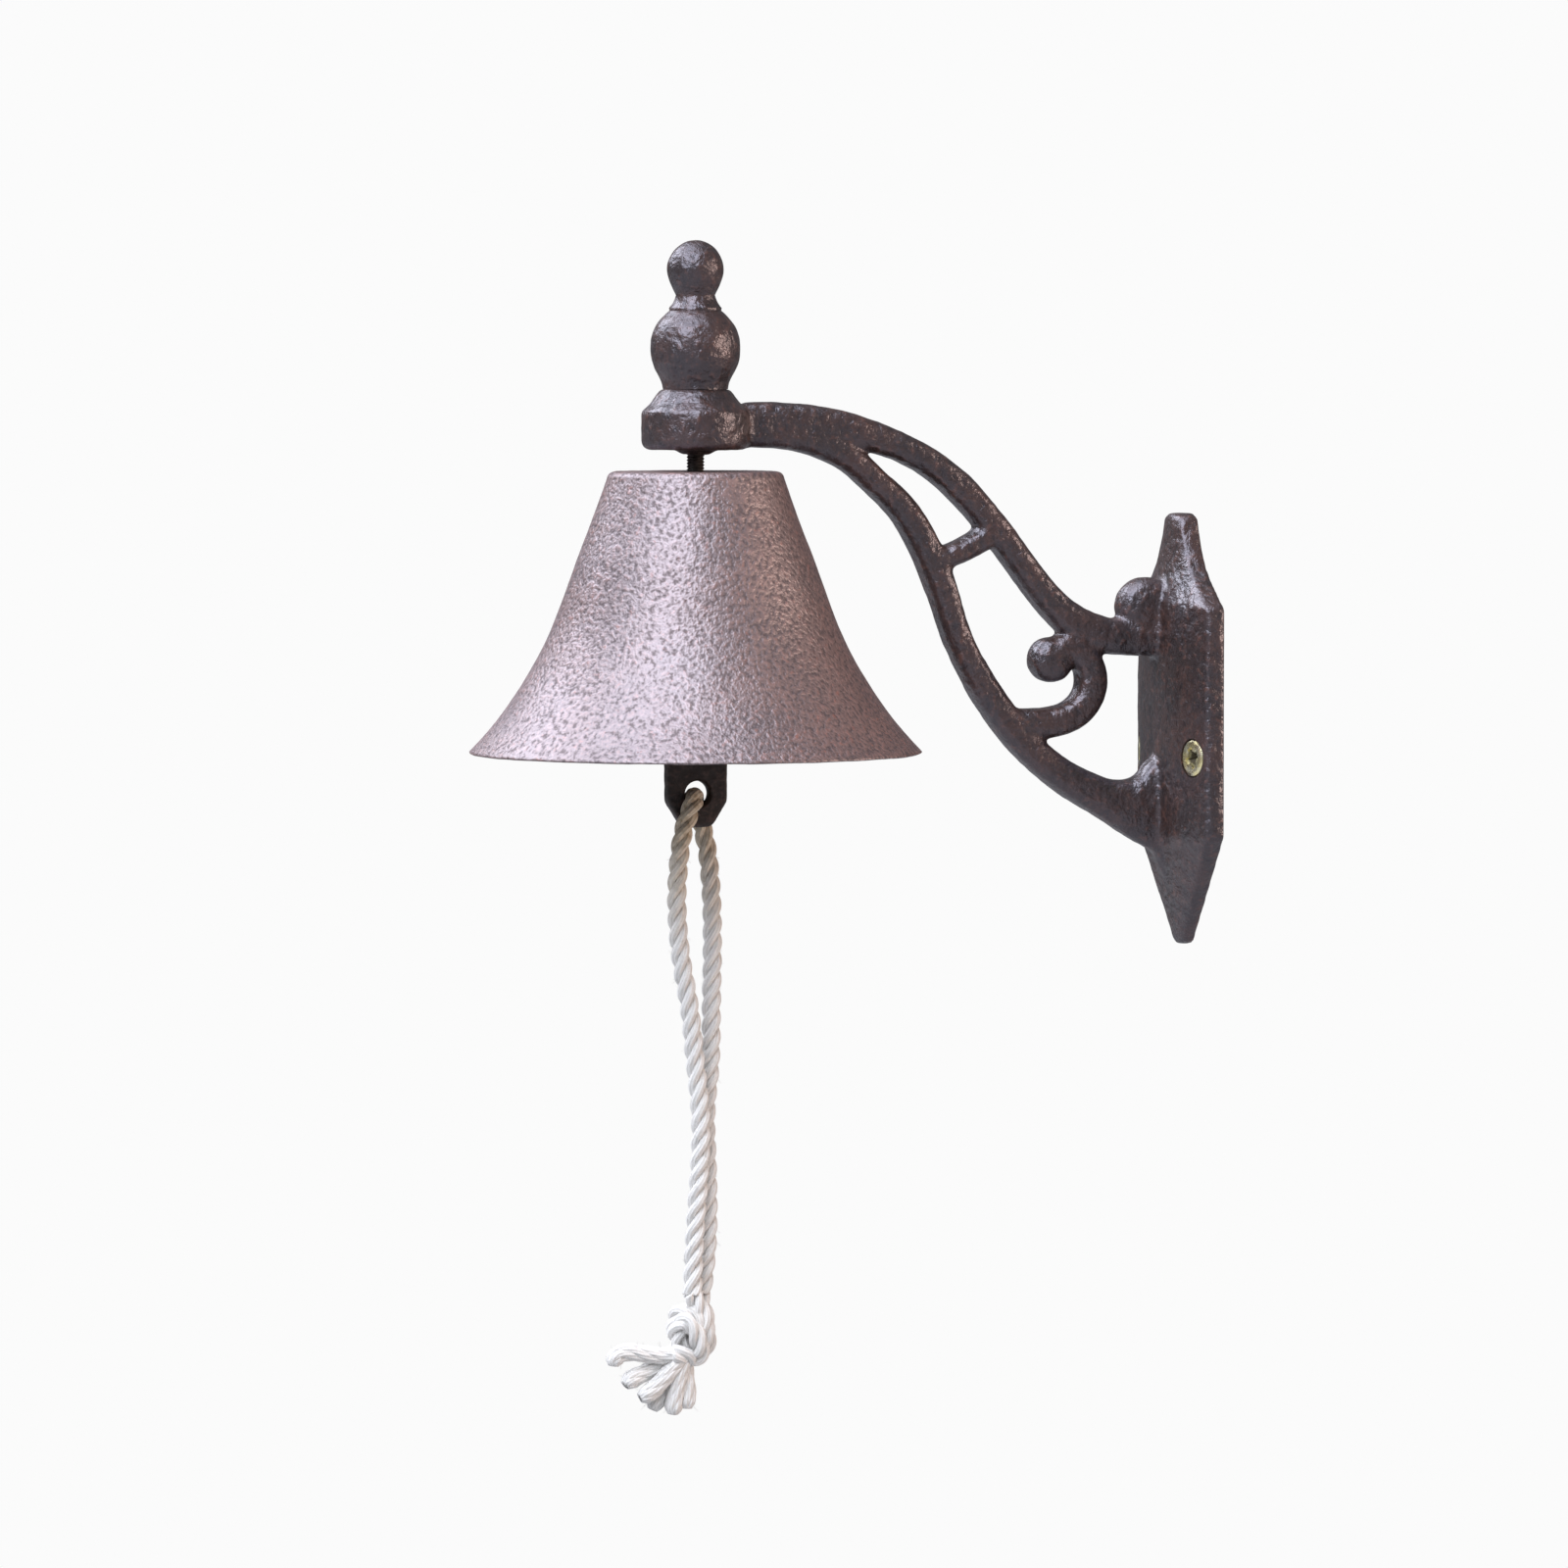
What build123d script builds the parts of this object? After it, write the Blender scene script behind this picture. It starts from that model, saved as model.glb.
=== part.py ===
from build123d import *
import math
import os

# Wall mounted bell: an iron scroll bracket carries a bell on a hanger bolt, and the bell's clapper
# is rung by a knotted rope. Millimetres. The wall is the plane y = 0, the arm reaches out along -Y,
# +Z is up. The origin is on the plate's back face, midway between the two wall screws.

# ---- driving dimensions ----
REACH = 115.0  # wall to the bell's axis

PLATE_EDGE = 4.1  # plate thickness at its straight sides
PLATE_MIDDLE = 8.5  # plate thickness along its crowned middle
PLATE_TOP_TIP = 4.5  # plate thickness at its top tip
PLATE_BOTTOM_TIP = 3.0
PLATE_HALF_WIDTH = 24.5
PLATE_SHOULDER_Z = 33.3  # where the straight sides meet the pointed top
PLATE_TOP_Z = 54.1
PLATE_TAPER_Z = -17.5  # where the straight sides start to taper
PLATE_BOTTOM_Z = -42.6

ARM_THICKNESS = 9.0
BOSS_RADIUS = 12.0
BOSS_BOTTOM_Z = 68.7
BOSS_SHOULDER_Z = 77.2
BOSS_TOP_Z = 82.0
SEAT_RADIUS = 7.6  # flat on the boss that the finial stands on

FINIAL_TOP_Z = 114.8
BOLT_RADIUS = 2.0
BOLT_HOLE_RADIUS = 2.4

BELL_TOP_Z = 63.9
BELL_MOUTH_Z = 1.6
BELL_RADIUS = 50.0
CROWN_THICKNESS = 4.0
BELL_SEAT_GAP = 0.1  # between the crown and the washer under it

WASHER_RADIUS = 5.5
WASHER_THICKNESS = 1.0
NUT_FLAT_RADIUS = 3.5  # half the distance across flats
NUT_HEIGHT = 3.2

EYE_RADIUS = 4.0  # centre line of the two eyes
EYE_WIRE = 1.5  # wire radius of the two eyes
LINK_WIRE = 1.0
LINK_BEND = 2.8  # centre line of the link's round ends
BOLT_EYE_Z = 48.5
LINK_PITCH = 8.0  # between the centres of the link's two ends

STRIKER_RADIUS = 12.5
STRIKER_Z = 13.0
TONGUE_HALF_WIDTH = 6.9
TONGUE_THICKNESS = 4.0
TONGUE_CORNER_Z = -9.0
TONGUE_BOTTOM_Z = -14.6
TONGUE_TIP = 3.3  # half width of the tongue's bottom edge
ROPE_HOLE_Z = -7.2
ROPE_HOLE_RADIUS = 2.85

ROPE_RADIUS = 2.1
BIGHT_RADIUS = 1.5  # the rope is squeezed where it passes through the clapper
BIGHT_Z = -7.5
LEG_TOP_Z = -14.5
KNOT_TOP_Z = -118.2
KNOT_BOTTOM_Z = -133.6

SCREW_X = 19.0  # the head's centre, on the plate's crowned face
SCREW_Y = -5.85
SCREW_TILT = 15.6  # the screws go in square to the crowned face
SCREW_RADIUS = 2.0
SCREW_HEAD_RADIUS = 4.1
SCREW_HOLE_RADIUS = 2.4
SCREW_LENGTH = 5.3  # cut off at the wall, just short of the plate's back face

bell_axis = Axis((0, -REACH, 0), (0, 0, 1))
axis_plane = Plane.XZ.offset(REACH)  # local x across the bell, local y up

os.makedirs("parts", exist_ok=True)


def write(name, part):
    """Labels a finished piece and writes its STEP file."""
    part.label = name
    export_step(part, f"parts/{name}.step")


def strand_sides(stations):
    """The two edges of a flat strand: each station is (y, z, width) along its centre line."""
    centre = [Vector(y, z) for y, z, width in stations]
    last = len(centre) - 1
    left, right = [], []
    for i, (y, z, width) in enumerate(stations):
        ahead = centre[min(i + 1, last)] - centre[max(i - 1, 0)]
        side = Vector(-ahead.Y, ahead.X).normalized() * (width / 2)
        left.append(centre[i] + side)
        right.append(centre[i] - side)
    return left, right


# Each screw is drawn on a plane through its axis: x across it, y outward from the plate's face
tilt = math.radians(SCREW_TILT)
screw_faces = [
    Plane(
        origin=(side * SCREW_X, SCREW_Y, 0),
        x_dir=(-math.cos(tilt), -side * math.sin(tilt), 0),
        z_dir=(0, 0, 1),
    )
    for side in (-1, 1)
]

# ---- bracket casting: wall plate, openwork arm and boss, in one piece of cast iron ----
UPPER_STRAND = [
    (-104, 75.0, 8.2), (-94, 74.9, 8.2), (-84, 73.9, 7.6), (-74, 71.3, 6.9), (-62, 66.0, 6.2),
    (-54.5, 60.2, 6.6), (-44, 48.2, 6.5), (-36.8, 38.9, 6.5), (-30.2, 31.8, 7.4),
    (-24, 28.0, 8.2), (-17, 26.4, 8.0), (-5, 26.6, 9.0),
]  # fmt: skip
LOWER_STRAND = [
    (-104, 72.6, 6.8), (-94, 72.0, 6.8), (-86, 69.9, 6.8), (-79.5, 66.3, 6.2), (-74.5, 62.0, 6.0),
    (-69.1, 57.1, 6.3), (-64.3, 50.6, 6.6), (-58.5, 37.8, 6.6), (-54.5, 26.3, 6.0),
    (-49.3, 16.5, 6.6), (-41.2, 5.2, 7.0), (-33.9, -1.8, 7.0), (-25.9, -6.9, 8.0),
    (-19.6, -9.9, 9.4), (-13.4, -11.6, 14.6), (-8.8, -11.6, 22.0), (-5, -11.8, 31.0),
]  # fmt: skip
RUNG = [(-59, 44.2, 5.0), (-54.5, 45.7, 5.2), (-50.5, 47.7, 5.4), (-46, 51.0, 6.0)]
SCROLL = [
    (-42, 8.0, 5.6), (-36.5, 7.4, 6.6), (-30, 8.2, 6.8), (-25.4, 11.2, 6.8), (-23.4, 15.8, 6.8),
    (-24.3, 20.6, 6.6), (-27.6, 24.2, 6.0), (-31.6, 24.6, 4.4),
]  # fmt: skip
SCROLL_END = (-32.9, 21.5, 5.0)  # y, z and radius of the round scroll ends
VOLUTE = (-10.8, 33.2, 6.3)

with BuildPart() as bracket:
    with BuildSketch(Plane.XZ):
        with BuildLine():
            Line((PLATE_HALF_WIDTH, PLATE_SHOULDER_Z), (PLATE_HALF_WIDTH, PLATE_TAPER_Z))
            Line((PLATE_HALF_WIDTH, PLATE_TAPER_Z), (3.4, -41.9))
            ThreePointArc((3.4, -41.9), (0, PLATE_BOTTOM_Z), (-3.4, -41.9))
            Line((-3.4, -41.9), (-PLATE_HALF_WIDTH, PLATE_TAPER_Z))
            Line((-PLATE_HALF_WIDTH, PLATE_TAPER_Z), (-PLATE_HALF_WIDTH, PLATE_SHOULDER_Z))
            Spline((-PLATE_HALF_WIDTH, PLATE_SHOULDER_Z), (-15, 39.3), (-9, 45.6), (-5.6, 53.0))
            ThreePointArc((-5.6, 53.0), (0, PLATE_TOP_Z), (5.6, 53.0))
            Spline((5.6, 53.0), (9, 45.6), (15, 39.3), (PLATE_HALF_WIDTH, PLATE_SHOULDER_Z))
        make_face()
    extrude(amount=PLATE_MIDDLE)
    # the front is crowned: a shallow arc across the width
    with BuildSketch(Plane.XY.offset(PLATE_BOTTOM_Z - 1)):
        with BuildLine():
            ThreePointArc(
                (-PLATE_HALF_WIDTH, -PLATE_EDGE), (0, -PLATE_MIDDLE), (PLATE_HALF_WIDTH, -PLATE_EDGE)
            )
            Polyline(
                (PLATE_HALF_WIDTH, -PLATE_EDGE), (PLATE_HALF_WIDTH, 0),
                (-PLATE_HALF_WIDTH, 0), (-PLATE_HALF_WIDTH, -PLATE_EDGE),
            )  # fmt: skip
        make_face()
    extrude(amount=PLATE_TOP_Z - PLATE_BOTTOM_Z + 2, mode=Mode.INTERSECT)
    # and it thins towards both tips
    with BuildSketch(Plane.YZ):
        with BuildLine():
            Line((1, PLATE_BOTTOM_Z - 1), (-PLATE_BOTTOM_TIP, PLATE_BOTTOM_Z - 1))
            Polyline(
                (-PLATE_BOTTOM_TIP, PLATE_BOTTOM_Z - 1), (-5.4, -30.0), (-7.6, -20.0),
                (-PLATE_MIDDLE - 0.1, -11.0), (-PLATE_MIDDLE - 0.1, 30.0), (-8.2, 36.0),
                (-6.8, 42.0), (-PLATE_TOP_TIP, PLATE_TOP_Z + 1), (1, PLATE_TOP_Z + 1),
                (1, PLATE_BOTTOM_Z - 1),
            )  # fmt: skip
        make_face()
    extrude(amount=PLATE_HALF_WIDTH + 1, both=True, mode=Mode.INTERSECT)
    # the openwork arm, flat in the plane x = 0
    with BuildSketch(Plane.YZ):
        for stations in (UPPER_STRAND, LOWER_STRAND, RUNG, SCROLL):
            left, right = strand_sides(stations)
            with BuildLine():
                Spline(*left)
                Line(left[-1], right[-1])
                Spline(*right[::-1])
                Line(right[0], left[0])
            make_face()
        for y, z, radius in (SCROLL_END, VOLUTE):
            with Locations((y, z)):
                Circle(radius)
    extrude(amount=ARM_THICKNESS / 2, both=True)
    # the boss: a round collar with a domed top, and a small cone round the bolt below
    with BuildSketch(axis_plane):
        with BuildLine():
            Polyline((0, BOSS_BOTTOM_Z - 1.1), (0, BOSS_TOP_Z), (SEAT_RADIUS, BOSS_TOP_Z))
            Spline(
                (SEAT_RADIUS, BOSS_TOP_Z), (9.4, 79.6), (BOSS_RADIUS, BOSS_SHOULDER_Z)
            )
            Line((BOSS_RADIUS, BOSS_SHOULDER_Z), (BOSS_RADIUS, BOSS_BOTTOM_Z + 1.5))
            RadiusArc((BOSS_RADIUS, BOSS_BOTTOM_Z + 1.5), (BOSS_RADIUS - 1.5, BOSS_BOTTOM_Z), 1.5)
            Polyline(
                (BOSS_RADIUS - 1.5, BOSS_BOTTOM_Z), (4.6, BOSS_BOTTOM_Z),
                (3.0, BOSS_BOTTOM_Z - 1.1), (0, BOSS_BOTTOM_Z - 1.1),
            )  # fmt: skip
        make_face()
    revolve(axis=bell_axis)
    with Locations((0, -REACH, BOSS_TOP_Z)):
        Hole(radius=BOLT_HOLE_RADIUS)
    # countersunk screw holes
    for face in screw_faces:
        with BuildSketch(face):
            with BuildLine():
                Polyline(
                    (0, -9.0), (SCREW_HOLE_RADIUS, -9.0), (SCREW_HOLE_RADIUS, -2.6),
                    (SCREW_HEAD_RADIUS + 0.25, -0.5), (SCREW_HEAD_RADIUS + 0.25, 4.0),
                    (0, 4.0), close=True,
                )  # fmt: skip
            make_face()
        revolve(axis=Axis(face.origin, face.y_dir), mode=Mode.SUBTRACT)
write("bracket_casting", bracket.part)

# ---- finial: cast knob screwed down on the hanger bolt ----
FINIAL_THREAD_TOP_Z = 97.0
BOLT_END_GAP = 0.5  # between the bolt's end and the bottom of the finial's blind hole
with BuildPart() as finial:
    with BuildSketch(axis_plane):
        with BuildLine():
            Line((0, BOSS_TOP_Z), (0, FINIAL_TOP_Z))
            Spline((0, FINIAL_TOP_Z), (4.6, 112.7), (6.25, 108.4), (5.2, 104.6), (4.3, 102.6))
            Spline((4.3, 102.6), (5.0, 101.3), (6.3, 99.8))
            Line((6.3, 99.8), (6.1, 99.2))
            Spline((6.1, 99.2), (8.6, 96.2), (9.9, 91.4), (9.0, 86.6), (7.4, 83.2), (7.2, BOSS_TOP_Z))
            Line((7.2, BOSS_TOP_Z), (0, BOSS_TOP_Z))
        make_face()
    revolve(axis=bell_axis)
    with BuildSketch(Plane.XY.offset(BOSS_TOP_Z)):
        with Locations((0, -REACH)):
            Circle(BOLT_RADIUS + 0.05)
    extrude(amount=FINIAL_THREAD_TOP_Z - BOSS_TOP_Z, mode=Mode.SUBTRACT)
write("finial", finial.part)

# ---- hanger bolt: a rod threaded into the finial, with an eye at its lower end ----
with BuildPart() as hanger_bolt:
    with BuildSketch(Plane.XY.offset(BOLT_EYE_Z + EYE_RADIUS)):
        with Locations((0, -REACH)):
            Circle(BOLT_RADIUS)
    extrude(amount=FINIAL_THREAD_TOP_Z - BOLT_END_GAP - BOLT_EYE_Z - EYE_RADIUS)
    with Locations((0, -REACH, BOLT_EYE_Z)):
        Torus(EYE_RADIUS, EYE_WIRE, rotation=(0, 90, 0))
write("hanger_bolt", hanger_bolt.part)

# ---- bell: a thin cast shell of revolution with a thick crown ----
CROWN_Z = BELL_TOP_Z - CROWN_THICKNESS
with BuildPart() as bell:
    with BuildSketch(axis_plane):
        with BuildLine():
            Line((BOLT_HOLE_RADIUS, CROWN_Z), (BOLT_HOLE_RADIUS, BELL_TOP_Z))
            Line((BOLT_HOLE_RADIUS, BELL_TOP_Z), (18.0, BELL_TOP_Z))
            RadiusArc((18.0, BELL_TOP_Z), (19.6, BELL_TOP_Z - 1.5), 1.7)
            Spline(
                (19.6, BELL_TOP_Z - 1.5), (22.2, 55.0), (27.3, 41.4), (32.1, 28.6),
                (38.8, 16.2), (45.2, 7.4), (BELL_RADIUS, BELL_MOUTH_Z + 0.5),
            )  # fmt: skip
            RadiusArc((BELL_RADIUS, BELL_MOUTH_Z + 0.5), (48.6, BELL_MOUTH_Z), 1.1)
            Line((48.6, BELL_MOUTH_Z), (47.6, BELL_MOUTH_Z))
            Spline(
                (47.6, BELL_MOUTH_Z), (42.8, 5.8), (36.2, 14.6), (29.3, 27.4),
                (24.5, 40.2), (19.6, 53.4), (18.0, 57.6), (16.0, CROWN_Z),
            )  # fmt: skip
            Line((16.0, CROWN_Z), (BOLT_HOLE_RADIUS, CROWN_Z))
        make_face()
    revolve(axis=bell_axis)
write("bell", bell.part)

# ---- washer and nut that carry the bell from below ----
washer_top = CROWN_Z - BELL_SEAT_GAP
with BuildPart() as washer:
    with BuildSketch(Plane.XY.offset(washer_top)):
        with Locations((0, -REACH)):
            Circle(WASHER_RADIUS)
            Circle(BOLT_RADIUS + 0.15, mode=Mode.SUBTRACT)
    extrude(amount=-WASHER_THICKNESS)
write("bell_washer", washer.part)

nut_top = washer_top - WASHER_THICKNESS
with BuildPart() as nut:
    with BuildSketch(Plane.XY.offset(nut_top)):
        with Locations((0, -REACH)):
            RegularPolygon(radius=NUT_FLAT_RADIUS, side_count=6, major_radius=False)
            Circle(BOLT_RADIUS + 0.05, mode=Mode.SUBTRACT)
    extrude(amount=-NUT_HEIGHT)
write("bell_nut", nut.part)

# ---- clapper link: an oval wire link between the bolt's eye and the clapper's eye ----
link_top = BOLT_EYE_Z - EYE_RADIUS
link_bottom = link_top - LINK_PITCH
with BuildPart() as link:
    with BuildLine(axis_plane) as link_path:
        Line((LINK_BEND, link_bottom), (LINK_BEND, link_top))
        CenterArc((0, link_top), LINK_BEND, 0, 180)
        Line((-LINK_BEND, link_top), (-LINK_BEND, link_bottom))
        CenterArc((0, link_bottom), LINK_BEND, 180, 180)
    with BuildSketch(Plane.XY.offset(link_bottom)):
        with Locations((LINK_BEND, -REACH)):
            Circle(LINK_WIRE)
    sweep(path=link_path.wires()[0])
write("clapper_link", link.part)

# ---- clapper: eye, shank, ball striker and the flat tongue that the rope goes through ----
clapper_eye_z = link_bottom - EYE_RADIUS
with BuildPart() as clapper:
    with Locations((0, -REACH, clapper_eye_z)):
        Torus(EYE_RADIUS, EYE_WIRE, rotation=(0, 90, 0))
    with BuildSketch(Plane.XY.offset(STRIKER_Z)):
        with Locations((0, -REACH)):
            Circle(2.4)
    extrude(amount=clapper_eye_z - EYE_RADIUS + 0.6 - STRIKER_Z)
    with Locations((0, -REACH, STRIKER_Z)):
        Sphere(STRIKER_RADIUS)
    with BuildSketch(Plane.YZ):
        with Locations((-REACH, 0)):
            Polygon(
                (-TONGUE_HALF_WIDTH, STRIKER_Z - 5), (-TONGUE_HALF_WIDTH, TONGUE_CORNER_Z),
                (-TONGUE_TIP, TONGUE_BOTTOM_Z), (TONGUE_TIP, TONGUE_BOTTOM_Z),
                (TONGUE_HALF_WIDTH, TONGUE_CORNER_Z), (TONGUE_HALF_WIDTH, STRIKER_Z - 5),
                align=None,
            )  # fmt: skip
        with Locations((-REACH, ROPE_HOLE_Z)):
            Circle(ROPE_HOLE_RADIUS, mode=Mode.SUBTRACT)
    extrude(amount=TONGUE_THICKNESS / 2, both=True)
write("clapper", clapper.part)

# ---- rope: one cotton cord doubled through the clapper's hole and knotted near its ends ----
# Routes are (x, y from the bell's axis, z); the near leg is the one on the +X side.
BIGHT = [(4.6, -2.6, LEG_TOP_Z), (4.3, -0.3, BIGHT_Z), (-4.3, 0.3, BIGHT_Z), (-4.6, 2.3, LEG_TOP_Z)]
NEAR_LEG = [
    (4.6, -2.6, LEG_TOP_Z), (4.9, -4.9, -21.5), (4.0, -5.4, -31.5), (2.9, -4.2, -43.0),
    (2.1, -1.9, -54.5), (1.7, -0.6, -67.0), (2.4, 0.6, -78.0), (2.3, 0.3, -90.0),
    (1.8, -0.6, -102.0), (1.6, -1.0, -111.0), (1.7, -1.3, KNOT_TOP_Z),
]  # fmt: skip
FAR_LEG = [
    (-4.6, 2.3, LEG_TOP_Z), (-4.9, 4.3, -21.5), (-3.4, 4.7, -31.5), (-2.0, 4.4, -43.0),
    (-1.3, 3.9, -54.5), (-1.6, 3.9, -67.0), (-1.9, 2.6, -78.0), (-1.6, 3.1, -90.0),
    (-1.2, 3.2, -102.0), (-1.5, 2.8, -111.0), (-1.9, 1.9, KNOT_TOP_Z),
]  # fmt: skip


def at_bell(route):
    """A route's points as vectors in the part's frame."""
    return [Vector(x, y - REACH, z) for x, y, z in route]


def bend_radii(points):
    """For each corner, 0.45 of its shorter run over the tangent of half its turn."""
    radii = []
    for before, corner, after in zip(points, points[1:], points[2:]):
        turn = math.radians((corner - before).get_angle(after - corner))
        run = min((corner - before).length, (after - corner).length)
        radii.append(0.45 * run / math.tan(turn / 2))
    return radii


for name, route, radius in (
    ("rope_bight", BIGHT, BIGHT_RADIUS),
    ("rope_near_leg", NEAR_LEG, ROPE_RADIUS),
    ("rope_far_leg", FAR_LEG, ROPE_RADIUS),
):
    points = at_bell(route)
    radii = bend_radii(points)
    with BuildPart() as rope:
        with BuildLine() as route_line:
            FilletPolyline(*points, radius=radii)
        path = route_line.wires()[0]
        with BuildSketch(Plane(points[0], z_dir=points[1] - points[0])):
            Circle(radius)
        sweep(path=path)
    write(name, rope.part)
    share = rope.part.volume / (math.pi * radius**2 * path.length)
    print(name, "length", round(path.length, 1), "volume share", round(share, 4))
    print(" bend radii", [round(r, 1) for r in radii])

# the knot: a closed solid of its outer shape, leaning a little away from the wall
KNOT_Y = -REACH - 1.0
with BuildPart() as knot:
    with BuildSketch(Plane.XZ.offset(-KNOT_Y)):
        with BuildLine():
            Line((0, KNOT_BOTTOM_Z), (0, KNOT_TOP_Z))
            Line((0, KNOT_TOP_Z), (4.8, KNOT_TOP_Z))
            Spline((4.8, KNOT_TOP_Z), (5.9, -123.0), (5.8, -128.0), (4.2, KNOT_BOTTOM_Z))
            Line((4.2, KNOT_BOTTOM_Z), (0, KNOT_BOTTOM_Z))
        make_face()
    revolve(axis=Axis((0, KNOT_Y, 0), (0, 0, 1)))
write("rope_knot", knot.part)

# the frayed ends: a flat fan of short strands, spreading away from the wall below the knot
TASSEL_HALF_DEPTH = 3.0
with BuildPart() as tassel:
    with BuildSketch(Plane.YZ):
        with BuildLine():
            Line((-REACH - 5.0, KNOT_BOTTOM_Z), (-REACH + 2.4, KNOT_BOTTOM_Z))
            Line((-REACH + 2.4, KNOT_BOTTOM_Z), (-REACH + 0.6, -141.5))
            Spline(
                (-REACH + 0.6, -141.5), (-REACH - 4.5, -145.2), (-REACH - 11.0, -143.6),
                (-REACH - 17.0, -139.4), (-REACH - 21.8, -132.6),
            )  # fmt: skip
            Polyline(
                (-REACH - 21.8, -132.6), (-REACH - 17.5, -129.6), (-REACH - 9.0, -131.8),
                (-REACH - 5.0, KNOT_BOTTOM_Z),
            )  # fmt: skip
        make_face()
    extrude(amount=TASSEL_HALF_DEPTH, both=True)
write("rope_tassel", tassel.part)

# ---- wall screws: two flat countersunk screws, cut off where they enter the wall ----
screws = []
for face in screw_faces:
    with BuildPart() as screw:
        with BuildSketch(face):
            with BuildLine():
                Polyline(
                    (0, -SCREW_LENGTH), (SCREW_RADIUS, -SCREW_LENGTH), (SCREW_RADIUS, -2.6),
                    (SCREW_HEAD_RADIUS, -0.6), (SCREW_HEAD_RADIUS, -0.2), (3.8, 0.1),
                    (2.4, 0.25), (0, 0.3), close=True,
                )  # fmt: skip
            make_face()
        revolve(axis=Axis(face.origin, face.y_dir))
        # cross recess
        recess = Plane(origin=face.origin, x_dir=(0, 0, 1), z_dir=face.y_dir)
        with BuildSketch(recess.offset(-1.4)):
            Rectangle(4.4, 1.1)
            Rectangle(1.1, 4.4)
        extrude(amount=2.0, mode=Mode.SUBTRACT)
    screws.append(screw.part)
write("wall_screws", Compound(children=screws))
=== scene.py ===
import itertools
import math

import bmesh
import bpy
import numpy as np
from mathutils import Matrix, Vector


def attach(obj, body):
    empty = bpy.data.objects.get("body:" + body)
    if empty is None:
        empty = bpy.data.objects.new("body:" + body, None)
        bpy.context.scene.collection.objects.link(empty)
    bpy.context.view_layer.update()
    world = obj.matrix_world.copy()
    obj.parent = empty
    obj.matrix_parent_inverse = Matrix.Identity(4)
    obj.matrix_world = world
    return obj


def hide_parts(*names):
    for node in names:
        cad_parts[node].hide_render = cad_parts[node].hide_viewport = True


# Wall mounted bell: a cast iron scroll bracket, a cast bell on a hanger bolt, and a clapper rung by
# a knotted cotton rope. Sizes are millimetres, turned to metres where a mesh or object is made.
# The wall is the plane y = 0, the arm reaches out along -Y and +Z is up.
MM = 0.001
REACH = 115.0  # wall to the bell's axis

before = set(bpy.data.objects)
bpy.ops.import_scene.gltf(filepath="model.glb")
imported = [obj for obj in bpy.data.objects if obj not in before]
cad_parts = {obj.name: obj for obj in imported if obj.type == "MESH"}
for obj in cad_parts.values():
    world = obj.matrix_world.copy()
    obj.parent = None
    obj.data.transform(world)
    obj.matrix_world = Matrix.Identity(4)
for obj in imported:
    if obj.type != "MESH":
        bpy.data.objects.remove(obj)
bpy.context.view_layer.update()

# ---- camera: a long lens from the side, a little in front of the bracket and a little above the ----
# bell's mouth, so that the plate's crown and the near screw show.
VIEW_AZIMUTH, VIEW_ELEVATION = math.radians(74), math.radians(3)
VIEW_DISTANCE = 2.0
LOOK_AT = Vector((0, -0.0947, -0.0054))
camera = bpy.data.objects.new("camera", bpy.data.cameras.new("camera"))
bpy.context.scene.collection.objects.link(camera)
camera.data.lens = 207.3
camera.data.sensor_width = 36
towards_camera = Vector(
    (
        math.sin(VIEW_AZIMUTH) * math.cos(VIEW_ELEVATION),
        -math.cos(VIEW_AZIMUTH) * math.cos(VIEW_ELEVATION),
        math.sin(VIEW_ELEVATION),
    )
)
camera.location = LOOK_AT + VIEW_DISTANCE * towards_camera
camera.rotation_euler = towards_camera.to_track_quat("Z", "Y").to_euler()
bpy.context.scene.camera = camera


# ---- rope: one three-strand cotton cord, doubled through the hole in the clapper's tongue and ----
# knotted near its ends. It is grubby where it rubs on the iron and white lower down.
# Each leg is a cord of its own, from the middle of the hole to the knot.
ROPE_RADIUS = 2.1
ROPE_LAY = 12.6  # one turn of the strands
# Routes are (x, y from the bell's axis, z); the near leg is the one on the +X side.
NEAR_LEG = [
    (0.0, -0.4, -8.0), (2.6, -0.8, -7.9), (4.5, -2.4, -10.6), (4.6, -4.2, -15.0), (4.7, -5.3, -22.5),
    (4.0, -5.6, -31.5), (2.9, -4.4, -43.0), (2.1, -1.9, -54.5), (1.7, -0.6, -67.0),
    (2.4, 0.6, -78.0), (2.3, 0.3, -90.0), (1.8, -0.6, -102.0), (1.6, -1.0, -111.0),
    (1.7, -1.3, -118.2),
]  # fmt: skip
FAR_LEG = [
    (0.0, -0.4, -8.0), (-2.6, 0.2, -7.9), (-4.5, 1.4, -10.6), (-4.6, 3.0, -15.5), (-4.9, 4.3, -21.5),
    (-3.4, 4.7, -31.5), (-2.0, 4.4, -43.0), (-1.3, 3.9, -54.5), (-1.6, 3.9, -67.0),
    (-1.9, 2.6, -78.0), (-1.6, 3.1, -90.0), (-1.2, 3.2, -102.0), (-1.5, 2.8, -111.0),
    (-1.9, 1.9, -118.2),
]  # fmt: skip
TONGUE_HALF_THICKNESS = 2.0
ROPE_HOLE_Z, ROPE_HOLE_RADIUS = -7.2, 2.85
SQUEEZED_HALF_LENGTH = 1.3  # of the rope inside the hole
TONGUE_BOTTOM_Z = -14.6


def at_bell(route):
    """A route's points in the row frame, in millimetres."""
    return np.array(route, float) + (0, -REACH, 0)


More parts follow.
